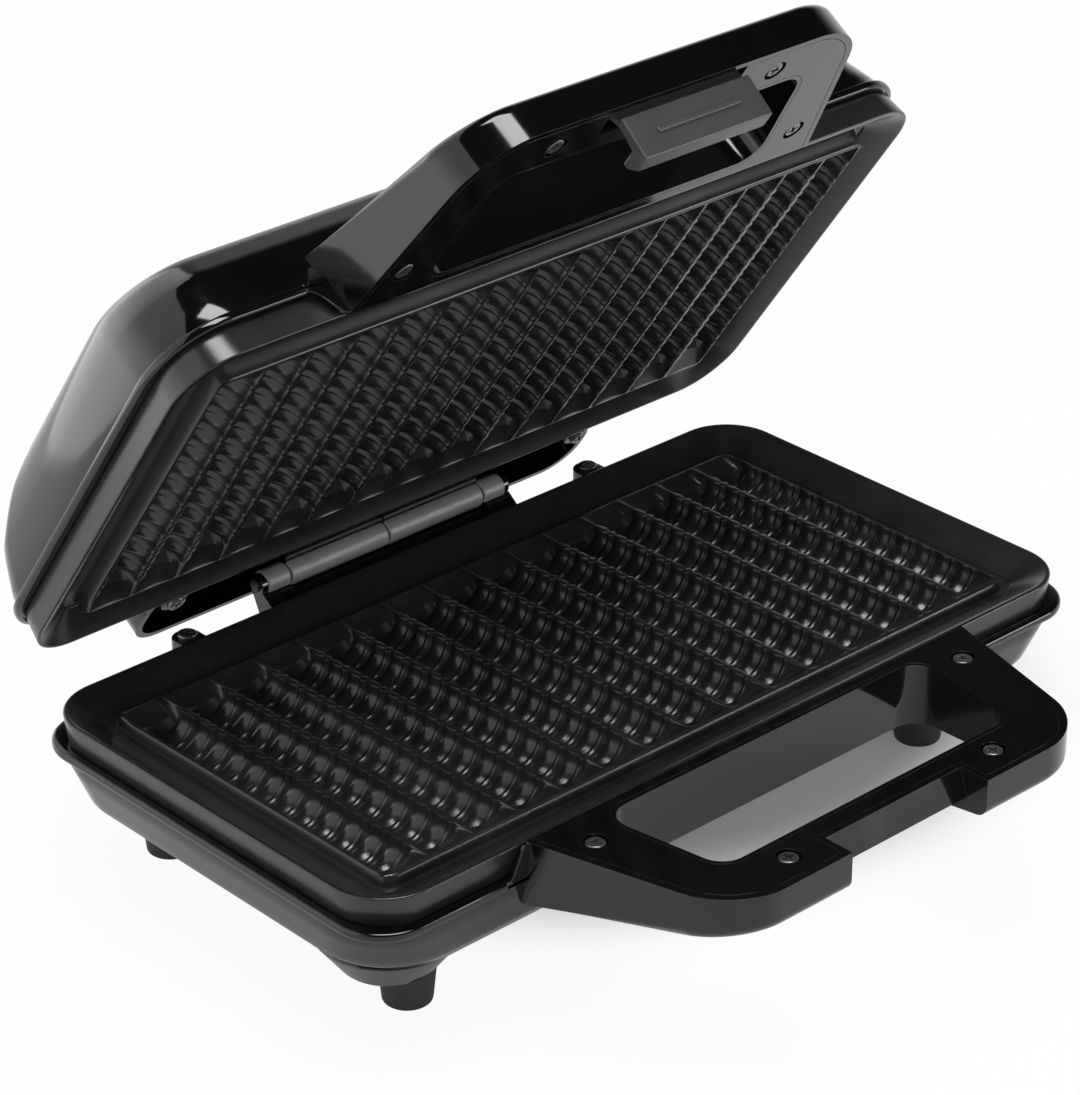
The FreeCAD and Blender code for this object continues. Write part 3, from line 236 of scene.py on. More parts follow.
wipes, entry, place = new_effect("wipe_marks", [("Scale", 60.0), ("Amount", 0.35)], "Mask")
along = add_node(wipes, "Mapping", {"Vector": place, "Scale": WIPE_STRETCH})
strands = add_node(wipes, "TexNoise", {"Vector": along.outputs[0], "Scale": entry.outputs["Scale"],
                                       "Detail": WIPE_DETAIL, "Roughness": WIPE_ROUGH})
earlier = {0: WIPE_START, 1: entry.outputs["Amount"]}
start_at = add_node(wipes, "Math", earlier, operation="SUBTRACT").outputs[0]
faint = add_node(wipes, "MapRange", {"Value": strands.outputs[0], "From Min": start_at, "From Max": WIPE_END})
leave_effect(wipes, faint.outputs[0])
print("effects:", grain.name, clouds.name, wipes.name)

# %% [markdown]
# A finish is one Principled shader. Clouds mix a darker and a lighter colour, wipe marks move the
# roughness between two values, and the grain lifts the surface by a few hundredths of a millimetre.

# %% One finish for each material of the object
MIX_SHARE, MIX_DARK, MIX_LIGHT, MIX_RESULT = 0, 6, 7, 2
COAT_ROUGH, IOR = 0.06, 1.5
FINISHES = {}


def make_finish(name, dark, light, rough, grain_scale, lift, metal=0.0, cloud=14.0, coat=0.0):
    """A finish from two colours, two roughness values, and the size and height of its grain."""
    material = bpy.data.materials.new(name)
    material.use_nodes = True
    tree = material.node_tree
    tree.nodes.clear()
    height = add_node(tree, "Group", {"Scale": grain_scale}, node_tree=grain).outputs[0]
    patches = add_node(tree, "Group", {"Scale": cloud}, node_tree=clouds).outputs[0]
    marks = add_node(tree, "Group", node_tree=wipes).outputs[0]
    mixed = add_node(tree, "Mix", {MIX_SHARE: patches, MIX_DARK: (*dark, 1.0), MIX_LIGHT: (*light, 1.0)},
                     data_type="RGBA")
    gloss = add_node(tree, "MapRange", {"Value": marks, "To Min": rough[0], "To Max": rough[1]})
    bump = add_node(tree, "Bump", {"Height": height, "Strength": 1.0, "Distance": lift * MM})
    skin = add_node(tree, "BsdfPrincipled", {
        "Base Color": mixed.outputs[MIX_RESULT], "Roughness": gloss.outputs[0], "Metallic": metal, "IOR": IOR,
        "Coat Weight": coat, "Coat Roughness": COAT_ROUGH, "Normal": bump.outputs[0]})
    add_node(tree, "OutputMaterial", {"Surface": skin.outputs[0]})
    FINISHES[name] = material


def grey(value, warm=1.0):
    """A grey, or a slightly warm one."""
    return (value * warm, value, value / warm)


make_finish("gloss_black", grey(0.002), grey(0.0045), (0.07, 0.16), 500.0, 0.004)
make_finish("non_stick", grey(0.010), grey(0.022), (0.2, 0.3), 1600.0, 0.03, cloud=40.0)
make_finish("foot_rubber", grey(0.012), grey(0.022), (0.55, 0.72), 1200.0, 0.05)
make_finish("hinge_black", grey(0.17), grey(0.28), (0.36, 0.5), 1500.0, 0.12)
make_finish("latch_grey", grey(0.04), grey(0.065), (0.28, 0.4), 1400.0, 0.03)
make_finish("steel", grey(0.45, 1.02), grey(0.6, 1.02), (0.22, 0.4), 900.0, 0.01, metal=1.0)
make_finish("dark_screw", grey(0.10), grey(0.2), (0.22, 0.34), 900.0, 0.02, metal=0.8)
make_finish("element_sheath", grey(0.12, 1.05), grey(0.2, 1.05), (0.4, 0.6), 900.0, 0.02, metal=1.0)
make_finish("reflector_sheet", grey(0.6), grey(0.7), (0.25, 0.4), 700.0, 0.01, metal=1.0)
make_finish("fuse_case", (0.62, 0.58, 0.5), (0.7, 0.66, 0.57), (0.4, 0.55), 900.0, 0.02)
make_finish("block_plastic", (0.7, 0.68, 0.62), (0.78, 0.76, 0.7), (0.4, 0.55), 900.0, 0.03)
make_finish("gland_rubber", grey(0.015), grey(0.025), (0.5, 0.65), 1200.0, 0.05)
make_finish("red_lens", (0.35, 0.01, 0.008), (0.45, 0.02, 0.012), (0.08, 0.15), 500.0, 0.004, coat=0.5)
make_finish("green_lens", (0.01, 0.22, 0.03), (0.02, 0.3, 0.05), (0.08, 0.15), 500.0, 0.004, coat=0.5)
print(len(FINISHES), "finishes")

# %% [markdown]
# The pieces inside and the two pins already have their shape in the solids, so those nodes stay as they
# are and only change their finish.

# %% Finishes of the nodes that stay
KEPT_NODES = {
    "steel": ["latch_pin", "lower_reflector_screws", "upper_reflector_screws"],
    "dark_screw": ["hinge_pin"],
    "element_sheath": ["lower_heating_element", "upper_heating_element", "thermostat"],
    "reflector_sheet": ["lower_reflector", "upper_reflector"],
    "fuse_case": ["thermal_fuse"], "block_plastic": ["terminal_block"]}
for finish, names in KEPT_NODES.items():
    for name in names:
        frame["nodes"][name].data.materials.clear()
        frame["nodes"][name].data.materials.append(FINISHES[finish])
print(sum(len(names) for names in KEPT_NODES.values()), "nodes stay")

# %% [markdown]
# The same few moves make every piece: add a primitive, open it, pick a part of it by its place, push that
# part about, close the mesh, soften its edges, and set it on its half. They are written once here. An
# operator acts on all that is selected, so each move starts by clearing the selection.

# %% Picking and pushing
PICK_MODES = {"verts": "VERT", "edges": "EDGE", "faces": "FACE"}


def clear_selection():
    """Leave edit mode and select nothing."""
    if bpy.context.mode != "OBJECT":
        bpy.ops.object.mode_set(mode="OBJECT")
    bpy.ops.object.select_all(action="DESELECT")


def choose(piece):
    """Make one piece the only one selected, and the active one."""
    clear_selection()
    piece.select_set(True)
    bpy.context.view_layer.objects.active = piece


def open_new(name):
    """Name the primitive just added, put its place into its mesh, and open it for editing."""
    piece = bpy.context.object
    piece.name = piece.data.name = name
    bpy.ops.object.transform_apply(location=True, rotation=True, scale=True)
    bpy.ops.object.mode_set(mode="EDIT")
    return piece


def pick(piece, kind, wanted):
    """Select the vertices, edges or faces that pass a test, and nothing else."""
    bpy.ops.mesh.select_mode(type=PICK_MODES[kind])
    bpy.ops.mesh.select_all(action="DESELECT")
    mesh = bmesh.from_edit_mesh(piece.data)
    for item in getattr(mesh, kind):
        if wanted(item):
            item.select_set(True)
    mesh.select_flush_mode()
    bmesh.update_edit_mesh(piece.data)


def push(x=0.0, y=0.0, z=0.0):
    """Extrude what is selected and move the new part."""
    bpy.ops.mesh.extrude_region_move(TRANSFORM_OT_translate={"value": (x, y, z)})


def flatten(axis, place):
    """Press what is selected flat onto a plane across an axis."""
    scale = [1.0, 1.0, 1.0]
    centre = [0.0, 0.0, 0.0]
    scale["XYZ".index(axis)] = 0.0
    centre["XYZ".index(axis)] = place
    bpy.ops.transform.resize(value=scale, center_override=centre)

# %% [markdown]
# A mesh is closed before anything is cut out of it, and cut before its edges are softened: real moulded
# and cast edges are all a little round, and a bevel that comes too early would be cut through. Modifiers
# are applied at once, so that the next move sees real faces.

# %% Closing, cutting and softening
SMOOTH_BELOW = math.radians(40)
SOFTEN_ABOVE = math.radians(33)


def close_up(piece):
    """Fill the open ends of a mesh and point its faces outwards."""
    bpy.ops.mesh.select_mode(type="EDGE")
    bpy.ops.mesh.select_all(action="DESELECT")
    bpy.ops.mesh.select_non_manifold(use_wire=False, use_multi_face=False, use_non_contiguous=False,
                                     use_verts=False)
    if any(edge.select for edge in bmesh.from_edit_mesh(piece.data).edges):
        bpy.ops.mesh.edge_face_add()
    bpy.ops.mesh.select_all(action="SELECT")
    bpy.ops.mesh.normals_make_consistent(inside=False)
    bpy.ops.object.mode_set(mode="OBJECT")
    return piece


def apply_new(piece, kind, **settings):
    """Add a modifier, set it and apply it."""
    choose(piece)
    modifier = piece.modifiers.new(kind.lower(), kind)
    for name, value in settings.items():
        setattr(modifier, name, value)
    bpy.ops.object.modifier_apply(modifier=modifier.name)


def cut_away(piece, tool):
    """Take one closed shape out of another."""
    apply_new(piece, "BOOLEAN", operation="DIFFERENCE", solver="EXACT", object=tool)
    bpy.data.objects.remove(tool)


def soften(piece, width, steps=3):
    """Round the sharp edges and shade the rest smooth."""
    apply_new(piece, "BEVEL", width=width, segments=steps, limit_method="ANGLE", angle_limit=SOFTEN_ABOVE,
              use_clamp_overlap=True)
    bpy.ops.object.shade_smooth_by_angle(angle=SMOOTH_BELOW)
    apply_new(piece, "WEIGHTED_NORMAL", keep_sharp=True)
    return piece

# %% [markdown]
# A finished piece is carried to its half by a matrix that goes into its mesh, so that its object stays at
# the origin. Then it is tied to its body and stands for its solid. A solid whose shape is nearly right is
# copied and merged first, because its mesh is loose triangles.

# %% Setting a piece in place
MERGE_BELOW, FLAT_BELOW = 0.002, math.radians(0.5)


def join(pieces):
    """Make several pieces one, under the name of the first."""
    choose(pieces[0])
    for piece in pieces:
        piece.select_set(True)
    bpy.ops.object.join()
    return pieces[0]


def settle(piece, matrix, body, slot, *nodes):
    """Set a piece on its half, with its body, its finish and the nodes that it stands for."""
    clear_selection()
    piece.data.transform(matrix)
    piece.data.materials.clear()
    piece.data.materials.append(FINISHES[slot])
    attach(piece, body)
    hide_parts(*nodes)
    print(piece.name, len(piece.data.polygons), "faces")


def copy_of(node, matrix, name):
    """A merged copy of a CAD node's mesh, brought back into its half frame."""
    piece = bpy.data.objects.new(name, frame["nodes"][node].data.copy())
    piece.data.name = name
    scene.collection.objects.link(piece)
    choose(piece)
    piece.data.transform(matrix.inverted())
    bpy.ops.object.mode_set(mode="EDIT")
    bpy.ops.mesh.select_all(action="SELECT")
    bpy.ops.mesh.customdata_custom_splitnormals_clear()
    bpy.ops.mesh.remove_doubles(threshold=MERGE_BELOW)
    bpy.ops.mesh.dissolve_limited(angle_limit=FLAT_BELOW)
    bpy.ops.object.mode_set(mode="OBJECT")
    return piece

# %% [markdown]
# The two housings and the plates are bowls whose outline is a rounded rectangle at every height. By hand
# one would extrude a face again and again and pull its four quarters in. The helper does that: it keeps a
# list of outlines, extrudes the face once for each, and carries every corner arc to the next outline.

# %% Bowls from a stack of outlines
CORNER_STEPS = 14


def level(z, half_x, half_y, corner, shift=0.0):
    """One outline of a stack: height, half width, front edge, rear edge and corner radius."""
    return z, half_x, shift - half_y, shift + half_y, corner


def carry(piece, old, new):
    """Move the selected loop from one outline to the next."""
    z, half_x, front, rear, corner = old
    new_z, new_x, new_front, new_rear, new_corner = new
    mesh = bmesh.from_edit_mesh(piece.data)
    for vertex in mesh.verts:
        if not vertex.select:
            continue
        side = math.copysign(1.0, vertex.co.x)
        at_rear = vertex.co.y > (front + rear) / 2
        across = abs(vertex.co.x) - (half_x - corner)
        along = vertex.co.y - (rear - corner) if at_rear else front + corner - vertex.co.y
        angle = min(max(math.atan2(along, across), 0.0), math.pi / 2)
        vertex.co.x = side * (new_x - new_corner + new_corner * math.cos(angle))
        reach = new_corner * math.sin(angle) - new_corner
        vertex.co.y = new_rear + reach if at_rear else new_front - reach
        vertex.co.z = new_z
    bmesh.update_edit_mesh(piece.data)


def stack(name, outlines):
    """A closed bowl or block through a list of outlines, from its first end to its last."""
    z, half_x, front, rear, corner = outlines[0]
    clear_selection()
    bpy.ops.mesh.primitive_plane_add(size=2, location=(0, (front + rear) / 2, z))
    bpy.context.object.scale = (half_x, (rear - front) / 2, 1)
    piece = open_new(name)
    bpy.ops.mesh.select_all(action="SELECT")
    bpy.ops.mesh.bevel(offset=corner, segments=CORNER_STEPS, affect="VERTICES", clamp_overlap=False)
    bpy.ops.mesh.select_all(action="SELECT")
    for old, new in zip(outlines, outlines[1:]):
        push()
        carry(piece, old, new)
    return close_up(piece)

# %% [markdown]
# A plate is cast metal with a flared rim, a gutter and a raised field. Each groove bakes one stick, and
# rings run along it: a narrow rib, then a wide band that bulges a little. One ring of one groove is drawn
# from a half circle that is extruded and resized along a formula, then repeated along the groove and
# across.

# %% The rings of a groove
RIM_TOP, RIM_FOOT, GUTTER = -1.5, -13.0, -8.5
FIELD_X, FIELD_Y, FIELD_CORNER, FIELD_DRAFT = 145.75, 69.5, 5.0, 1.5
GROOVES, RINGS = 15, 12
GROOVE_RADIUS, GROOVE_END = 9.15, 10.4
RIB_SHARE, RIB_TALL, BAND_TALL = 0.36, 1.15, 0.85
RIB_STEPS, BAND_STEPS = 7, 8
PITCH = 2 * FIELD_X / GROOVES
GROOVE_Y = FIELD_Y - GROOVE_END
RING = 2 * GROOVE_Y / RINGS
NEAR = 0.01


def repeat(piece, count, x=0.0, y=0.0):
    """Copies of a mesh in a row, merged where they meet."""
    apply_new(piece, "ARRAY", count=count, use_relative_offset=False, use_constant_offset=True,
              constant_offset_displace=(x, y, 0.0), use_merge_vertices=True, merge_threshold=NEAR / 5)


def ring_steps():
    """Shares of one ring: close together over its rib, wider over its band."""
    over_rib = [RIB_SHARE * step / RIB_STEPS for step in range(1, RIB_STEPS + 1)]
    over_band = [RIB_SHARE + (1 - RIB_SHARE) * step / BAND_STEPS for step in range(1, BAND_STEPS + 1)]
    return over_rib + over_band


def ring_radius(share):
    """The groove's radius along one ring: less over the rib and over the band, with a cleft between."""
    if share < RIB_SHARE:
        return GROOVE_RADIUS - RIB_TALL * math.sin(math.pi * share / RIB_SHARE)
    return GROOVE_RADIUS - BAND_TALL * math.sin(math.pi * (share - RIB_SHARE) / (1 - RIB_SHARE))

# %% [markdown]
# The lower half of a circle is the groove's section. It is pushed along the groove and resized at each
# step, the ring is repeated, and the two long edges are pushed out flat to the middle of the land between
# grooves.

# %% One groove
ARC_STEPS, LAND_EDGE = 36, 0.16


def open_groove(name, field_z):
    """One groove: a half circle drawn along Y in rings, each a rib and a band."""
    first_x = -PITCH * (GROOVES - 1) / 2
    clear_selection()
    bpy.ops.mesh.primitive_circle_add(vertices=ARC_STEPS, radius=GROOVE_RADIUS, rotation=(math.pi / 2, 0, 0),
                                      location=(first_x, -GROOVE_Y, field_z))
    piece = open_new(name)
    pick(piece, "verts", lambda v: v.co.z > field_z + NEAR)
    bpy.ops.mesh.delete(type="VERT")
    bpy.ops.mesh.select_all(action="SELECT")
    reach, at = GROOVE_RADIUS, 0.0
    for step in ring_steps():
        swollen = ring_radius(step)
        push(y=RING * (step - at))
        ratio = swollen / reach
        bpy.ops.transform.resize(value=(ratio, 1, ratio), center_override=(first_x, 0, field_z))
        reach, at = swollen, step
    bpy.ops.object.mode_set(mode="OBJECT")
    repeat(piece, RINGS, y=RING)
    bpy.ops.object.mode_set(mode="EDIT")
    for side in (-1, 1):
        pick(piece, "edges", lambda e: e.is_boundary and all(
            abs(v.co.z - field_z) < NEAR and side * (v.co.x - first_x) > 0 for v in e.verts))
        push()
        flatten("X", first_x + side * PITCH / 2)
    pick(piece, "edges", lambda e: not e.is_boundary and all(
        abs(v.co.z - field_z) < NEAR and abs(v.co.x - first_x) < PITCH / 2 - 3 * NEAR for v in e.verts))
    bpy.ops.mesh.bevel(offset=LAND_EDGE, segments=2, affect="EDGES")
    bpy.ops.object.mode_set(mode="OBJECT")
    return piece

# %% [markdown]
# The whole field is 15 grooves side by side. Their open ends are pushed up in two ramps, a steep and a
# shallow one, as a stick's ends are rounded. The outer edge is then rounded at its corners and pushed down
# into the casting, with a little draft.

# %% The grooved field
RAMPS, RAMP_LIP = ((1.9, 0.45), (6.6, 0.2)), 0.62
FIELD_SINK, FIELD_EDGE, FIELD_LAND = 1.8, 0.7, 1.0
SHARP, STEEP = 0.9, 0.8


def round_field_corner(piece, field_z):
    """Pull the corners of the field onto their arcs."""
    centre_x, centre_y = FIELD_X - FIELD_CORNER, FIELD_Y - FIELD_CORNER
    mesh = bmesh.from_edit_mesh(piece.data)
    for vertex in mesh.verts:
        out = Vector((abs(vertex.co.x) - centre_x, abs(vertex.co.y) - centre_y))
        if abs(vertex.co.z - field_z) < NEAR and min(out) > 0 and out.length > FIELD_CORNER:
            out *= FIELD_CORNER / out.length
            vertex.co.x = math.copysign(centre_x + out.x, vertex.co.x)
            vertex.co.y = math.copysign(centre_y + out.y, vertex.co.y)
    bmesh.update_edit_mesh(piece.data)


def at_field_side(edge, field_z):
    """Whether an edge lies between the top of the field and its sides."""
    for vertex in edge.verts:
        at_rim = abs(vertex.co.x) > FIELD_X - FIELD_CORNER or abs(vertex.co.y) > FIELD_Y - FIELD_LAND
        if abs(vertex.co.z - field_z) > NEAR or not at_rim:
            return False
    deep = [face for face in edge.link_faces if min(v.co.z for v in face.verts) < field_z - FIELD_LAND]
    return edge.calc_face_angle(0) > SHARP and any(face.normal.z < STEEP for face in deep)


def grooved_field(name, field_z):
    """The field block: all the grooves, the land round them and the sides down into the casting."""
    piece = open_groove(name, field_z)
    repeat(piece, GROOVES, x=PITCH)
    bpy.ops.object.mode_set(mode="EDIT")
    for side in (-1, 1):
        pick(piece, "edges", lambda e: e.is_boundary and all(
            side * v.co.y > GROOVE_Y - NEAR for v in e.verts))
        for run, shallow in RAMPS:
            push(y=side * run)
            bpy.ops.transform.resize(value=(1, 1, shallow), center_override=(0, 0, field_z))
        push(y=side * RAMP_LIP)
        flatten("Z", field_z)
        push(y=side * (GROOVE_END - RAMP_LIP - sum(run for run, shallow in RAMPS)))
    round_field_corner(piece, field_z)
    pick(piece, "edges", lambda e: e.is_boundary)
    push(z=GUTTER - field_z)
    spread = ((FIELD_X + FIELD_DRAFT) / FIELD_X, (FIELD_Y + FIELD_DRAFT) / FIELD_Y, 1)
    bpy.ops.transform.resize(value=spread, center_override=(0, 0, 0))
    push(z=field_z - GROOVE_RADIUS - FIELD_SINK - GUTTER)
    pick(piece, "edges", lambda e: at_field_side(e, field_z))
    bpy.ops.mesh.bevel(offset=FIELD_EDGE, segments=3, affect="EDGES")
    close_up(piece)
    bpy.ops.object.shade_smooth_by_angle(angle=SMOOTH_BELOW)
    return piece

# %% [markdown]
# The pan round the field is one stack of outlines: up the back, out under the rim, up its leaning side,
# over the flat top, down the flare into the gutter and down beside the field. Each plate is held by two
# ears with round ends behind its rear rim.

# %% The rim, the gutter and the ears
EAR_X, EAR_Y, EAR_TOP, EAR_RADIUS, EAR_THICK = 96.0, 93.55, -3.5, 5.5, 4.0
EAR_LAP, EAR_FLAT, EAR_EDGE = 3.0, 0.1, 0.6
RIM_LEAN, RIM_FLAT, FLARE_IN, GUTTER_IN = 1.6, 2.0, 13.6, 14.0
GUTTER_ROUND, RIM_EDGE, BACK_DEEP, FIELD_LAP = 0.7, 0.8, 3.0, 0.6
LOWER_FIELD, UPPER_FIELD = RIM_TOP - 3.5, RIM_TOP - 0.5


def rim_level(z, inset):
    """The rim's outline at a height, pulled in all round."""
    return level(z, RIM_X - inset, RIM_Y - inset, RIM_CORNER - inset)


def tongue(name, side, near, low, high, edge):
    """A tongue with a round end, from a rear edge out to a plate screw."""
    far = EAR_Y + EAR_RADIUS
    half, middle = (far - near) / 2, (far + near) / 2
    piece = stack(name, [level(z, EAR_RADIUS, half, EAR_RADIUS - EAR_FLAT, middle) for z in (low, high)])
    soften(piece, edge)
    piece.data.transform(Matrix.Translation((side * EAR_X, 0, 0)))
    return piece


def plate(name, field_z):
    """A whole plate: pan with rim and gutter, grooved field and two screw ears."""
    foot_x, foot_y, foot_corner = FIELD_X + FIELD_DRAFT, FIELD_Y + FIELD_DRAFT, FIELD_CORNER + FIELD_DRAFT
    back = field_z - GROOVE_RADIUS - BACK_DEEP
    inner_x, inner_y = foot_x - FIELD_LAP, foot_y - FIELD_LAP
    pan = stack(name, [
        level(back, foot_x, foot_y, foot_corner), level(RIM_FOOT, foot_x, foot_y, foot_corner),
        rim_level(RIM_FOOT, RIM_LEAN), rim_level(RIM_TOP, 0.0), rim_level(RIM_TOP, RIM_FLAT),
        rim_level(GUTTER + GUTTER_ROUND, FLARE_IN), rim_level(GUTTER, GUTTER_IN),
        level(GUTTER, inner_x, inner_y, foot_corner), level(back + FIELD_LAP, inner_x, inner_y, foot_corner)])
    soften(pan, RIM_EDGE, 4)
    pieces = [pan, grooved_field(name + "_field", field_z)]
    for side in (-1, 1):
        pieces.append(tongue(name + "_ear", side, RIM_Y - EAR_LAP, EAR_TOP - EAR_THICK, EAR_TOP, EAR_EDGE))
    return join(pieces)


settle(plate("lower_grill_plate", LOWER_FIELD), ON_BASE, "base", "non_stick", "lower_plate")
settle(plate("upper_grill_plate", UPPER_FIELD), ON_LID, "lid", "non_stick", "upper_plate")

# %% [markdown]
# Each housing is a moulded shell: a floor, walls with a little draft up to a crease, a flat facet from the
# crease to an edge, a round turn into the floor, a ledge for the plate and a bead round the mouth. It is
# one stack of outlines that runs up the inside, over the bead and down the outside, so the wall has its
# real thickness. The walls share one profile, stretched by how far each comes in, and the turn is a Bezier
# curve. Only the side walls of the lid have no crease: they follow one smooth curve.

# %% The profile of the walls
CREASE, EDGE = Vector((0.125, 0.444)), Vector((0.424, 0.797))
EDGE_PULL, CROWN_PULL = Vector((0.638, 0.893)), Vector((0.85, 1.0))
SIDE_PULL, SIDE_CROWN_PULL = Vector((0.14, 0.55)), Vector((0.40, 0.95))
WALL_SHARES, FACET_SHARES = (0.0, 0.25, 0.5, 0.75, 0.97), (0.03, 0.25, 0.5, 0.75, 0.97)
TURN_STEPS, CURVE_STEPS = 14, 80
LIP, CROWN = Vector((0.0, 0.0)), Vector((1.0, 1.0))
TOUCH = 0.0001


def wall_profile():
    """How far in and how far down a wall is, each from 0 at its top to 1 at the floor."""
    turn = interpolate_bezier(EDGE, EDGE_PULL, CROWN_PULL, CROWN, TURN_STEPS + 1)
    wall = [CREASE * share for share in WALL_SHARES]
    facet = [CREASE.lerp(EDGE, share) for share in FACET_SHARES]
    return wall + facet + [spot.to_2d() for spot in turn[1:]]


def smooth_share(drop):
    """How far in a wall without a crease is at a depth, read off its curve."""
    curve = interpolate_bezier(LIP, SIDE_PULL, SIDE_CROWN_PULL, CROWN, CURVE_STEPS)
    for before, after in zip(curve, curve[1:]):
        if after.y >= drop - TOUCH:
            return before.x + (after.x - before.x) * (drop - before.y) / (after.y - before.y)

# %% [markdown]
# The bead round the mouth is a half-round lip that stands out from the wall. Inside it the plate's rim
# drops into a seat. The base's walls come in equally all round; the lid's rear wall comes in much further
# than its front wall, and its side walls least.

# %% The two housings
LIP_TOP, SEAT, STEP, STRAIGHT = -12.0, -13.0, -15.4, 3.0
LIP_OUT, WALL_IN, SEAT_GAP = 2.3, 1.4, 0.6
SIDE_WALL, FLOOR_WALL = 4.3, 2.5
BEAD = ((0.55, 0.0), (0.25, 0.15), (0.08, 0.5), (0.0, 1.1), (0.0, 2.3), (0.1, 2.9), (0.3, 3.25))
BEAD_ROUND = 2.2
BASE_DEPTH, BASE_SIDES, BASE_CORNERS = 29.5, (34.0, 34.0, 34.0), (18.5, 27.0, 27.0)
LID_DEPTH, LID_SIDES, LID_CORNERS = 32.0, (29.5, 55.0, 18.5), (26.0, 28.0, 25.0)


def turn_levels(turn_z, depth, smooth_sides, front, rear, side, inset, wall_corner, floor_corner):
    """Outlines down a wall and round its turn into the floor."""
    outlines = []
    for share, drop in wall_profile():
        side_share = smooth_share(drop) if smooth_sides else share
        half_x = RIM_X + LIP_OUT - WALL_IN - inset - side_share * side
        half_y = RIM_Y + LIP_OUT - WALL_IN - inset - share * (front + rear) / 2
        corner = wall_corner + share * (floor_corner - wall_corner) - inset
        outlines.append(level(turn_z - depth * drop, half_x, half_y, corner, share * (front - rear) / 2))
    return outlines


def shell(name, depth, smooth_sides, sides, corners):
    """A housing without its fittings. The sides are how far its front, rear and side walls come in."""
    lip_corner, *wall_corners = corners
    inside = turn_levels(STEP - STRAIGHT, depth - FLOOR_WALL, smooth_sides, *sides, SIDE_WALL, *wall_corners)
    outside = turn_levels(STEP - STRAIGHT, depth, smooth_sides, *sides, 0.0, *wall_corners)
    lip_x, lip_y = RIM_X + LIP_OUT, RIM_Y + LIP_OUT
    mouth = [(SEAT,) + inside[0][1:], rim_level(SEAT, SEAT_GAP), rim_level(LIP_TOP, SEAT_GAP)]
    bead = []
    for share, drop in BEAD:
        reach = share * BEAD_ROUND
        bead.append(level(LIP_TOP - drop, lip_x - reach, lip_y - reach, lip_corner - reach))
    under = level(STEP, lip_x - WALL_IN, lip_y - WALL_IN, wall_corners[0])
    piece = stack(name, inside[::-1] + mouth + bead + [under] + outside)
    choose(piece)
    bpy.ops.object.shade_smooth_by_angle(angle=SMOOTH_BELOW)
    return piece

# %% [markdown]
# Fittings are joined to the shells: cones that carry the feet, round posts for the plate screws, and on
# the lid a hollow apron that hides the hinge. A cone or post starts as a primitive and gets its edges
# rounded. The rear feet stand close to the rear wall, so their cones are slim columns that run up into it.

# %% Fittings of the housings
FOOT_X, FRONT_FOOT_Y, REAR_FOOT_Y = 123.5, -53.0, 72.0
BOSS_Z, BOSS_EDGE = -54.0, 1.6
FRONT_BOSS, REAR_BOSS = (15.8, 26.0, 13.6, 4.4, 4.1), (13.0, 14.5, 24.0, 2.0, -2.0)
POST_TALL, POST_EDGE, STAND_EDGE = 10.0, 0.8, 0.4
ROUND_STEPS = 64


def cone(name, low_radius, high_radius, low_z, tall, x, y, edge):
    """A cone or post with rounded rims."""
    clear_selection()
    bpy.ops.mesh.primitive_cone_add(vertices=ROUND_STEPS, radius1=low_radius, radius2=high_radius, depth=tall,
                                    location=(x, y, low_z + tall / 2))
    piece = open_new(name)
    bpy.ops.object.mode_set(mode="OBJECT")
    return soften(piece, edge)


def posts(name):
    """The two posts behind the rear wall that the plate ears stand on."""
    pieces = []
    stand_tall = EAR_TOP - EAR_THICK - STEP
    for side in (-1, 1):
        pieces.append(tongue(name, side, RIM_Y - SIDE_WALL, STEP - POST_TALL, LIP_TOP, POST_EDGE))
        pieces.append(cone(name, EAR_RADIUS, EAR_RADIUS, STEP, stand_tall, side * EAR_X, EAR_Y, STAND_EDGE))
    return pieces


base_shell = shell("base_shell", BASE_DEPTH, False, BASE_SIDES, BASE_CORNERS)
bosses = []
for y, (low, high, tall, out, along) in ((FRONT_FOOT_Y, FRONT_BOSS), (REAR_FOOT_Y, REAR_BOSS)):
    for side in (-1, 1):
        bosses.append(cone("boss", low, high, BOSS_Z, tall, side * (FOOT_X + out), y + along, BOSS_EDGE))
settle(join([base_shell] + bosses + posts("base_post")), ON_BASE, "base", "gloss_black", "lower_housing")

# %% [markdown]
# Behind the lid a skirt with an open top covers the hinge and keeps fingers out of it. Its far lower edge
# is round, so its outlines follow a quarter circle there.

# %% The lid's apron
APRON_X, APRON_FAR, APRON_TOP, APRON_TALL, APRON_WALL = 106.0, RIM_Y + 33.5, -5.0, 24.0, 2.6
APRON_CORNER, APRON_EDGE, EDGE_STEPS = 14.0, 8.4, 6
APRON_LAP, APRON_STEP, APRON_SOFT = 1.0, 0.2, 0.7


def apron():
    """A skirt with an open top: up the inside, then down the outside and round its far edge."""
    near = RIM_Y + LIP_OUT - APRON_LAP
    outside = [(APRON_TOP, APRON_X, near, APRON_FAR, APRON_CORNER)]
    for step in range(EDGE_STEPS + 1):
        angle = math.pi / 2 * step / EDGE_STEPS
        pulled = APRON_EDGE * (1 - math.cos(angle))
        z = APRON_TOP - APRON_TALL + APRON_EDGE * (1 - math.sin(angle))
        outside.append((z, APRON_X - pulled, near, APRON_FAR - pulled, APRON_CORNER - pulled))
    inner_x, inner_far, inner_corner = APRON_X - APRON_WALL, APRON_FAR - APRON_WALL, APRON_CORNER - APRON_WALL
    inside = [(z, inner_x, near + APRON_STEP, inner_far, inner_corner)
              for z in (APRON_TOP - APRON_TALL + APRON_WALL, APRON_TOP)]
    return stack("apron", inside + outside)


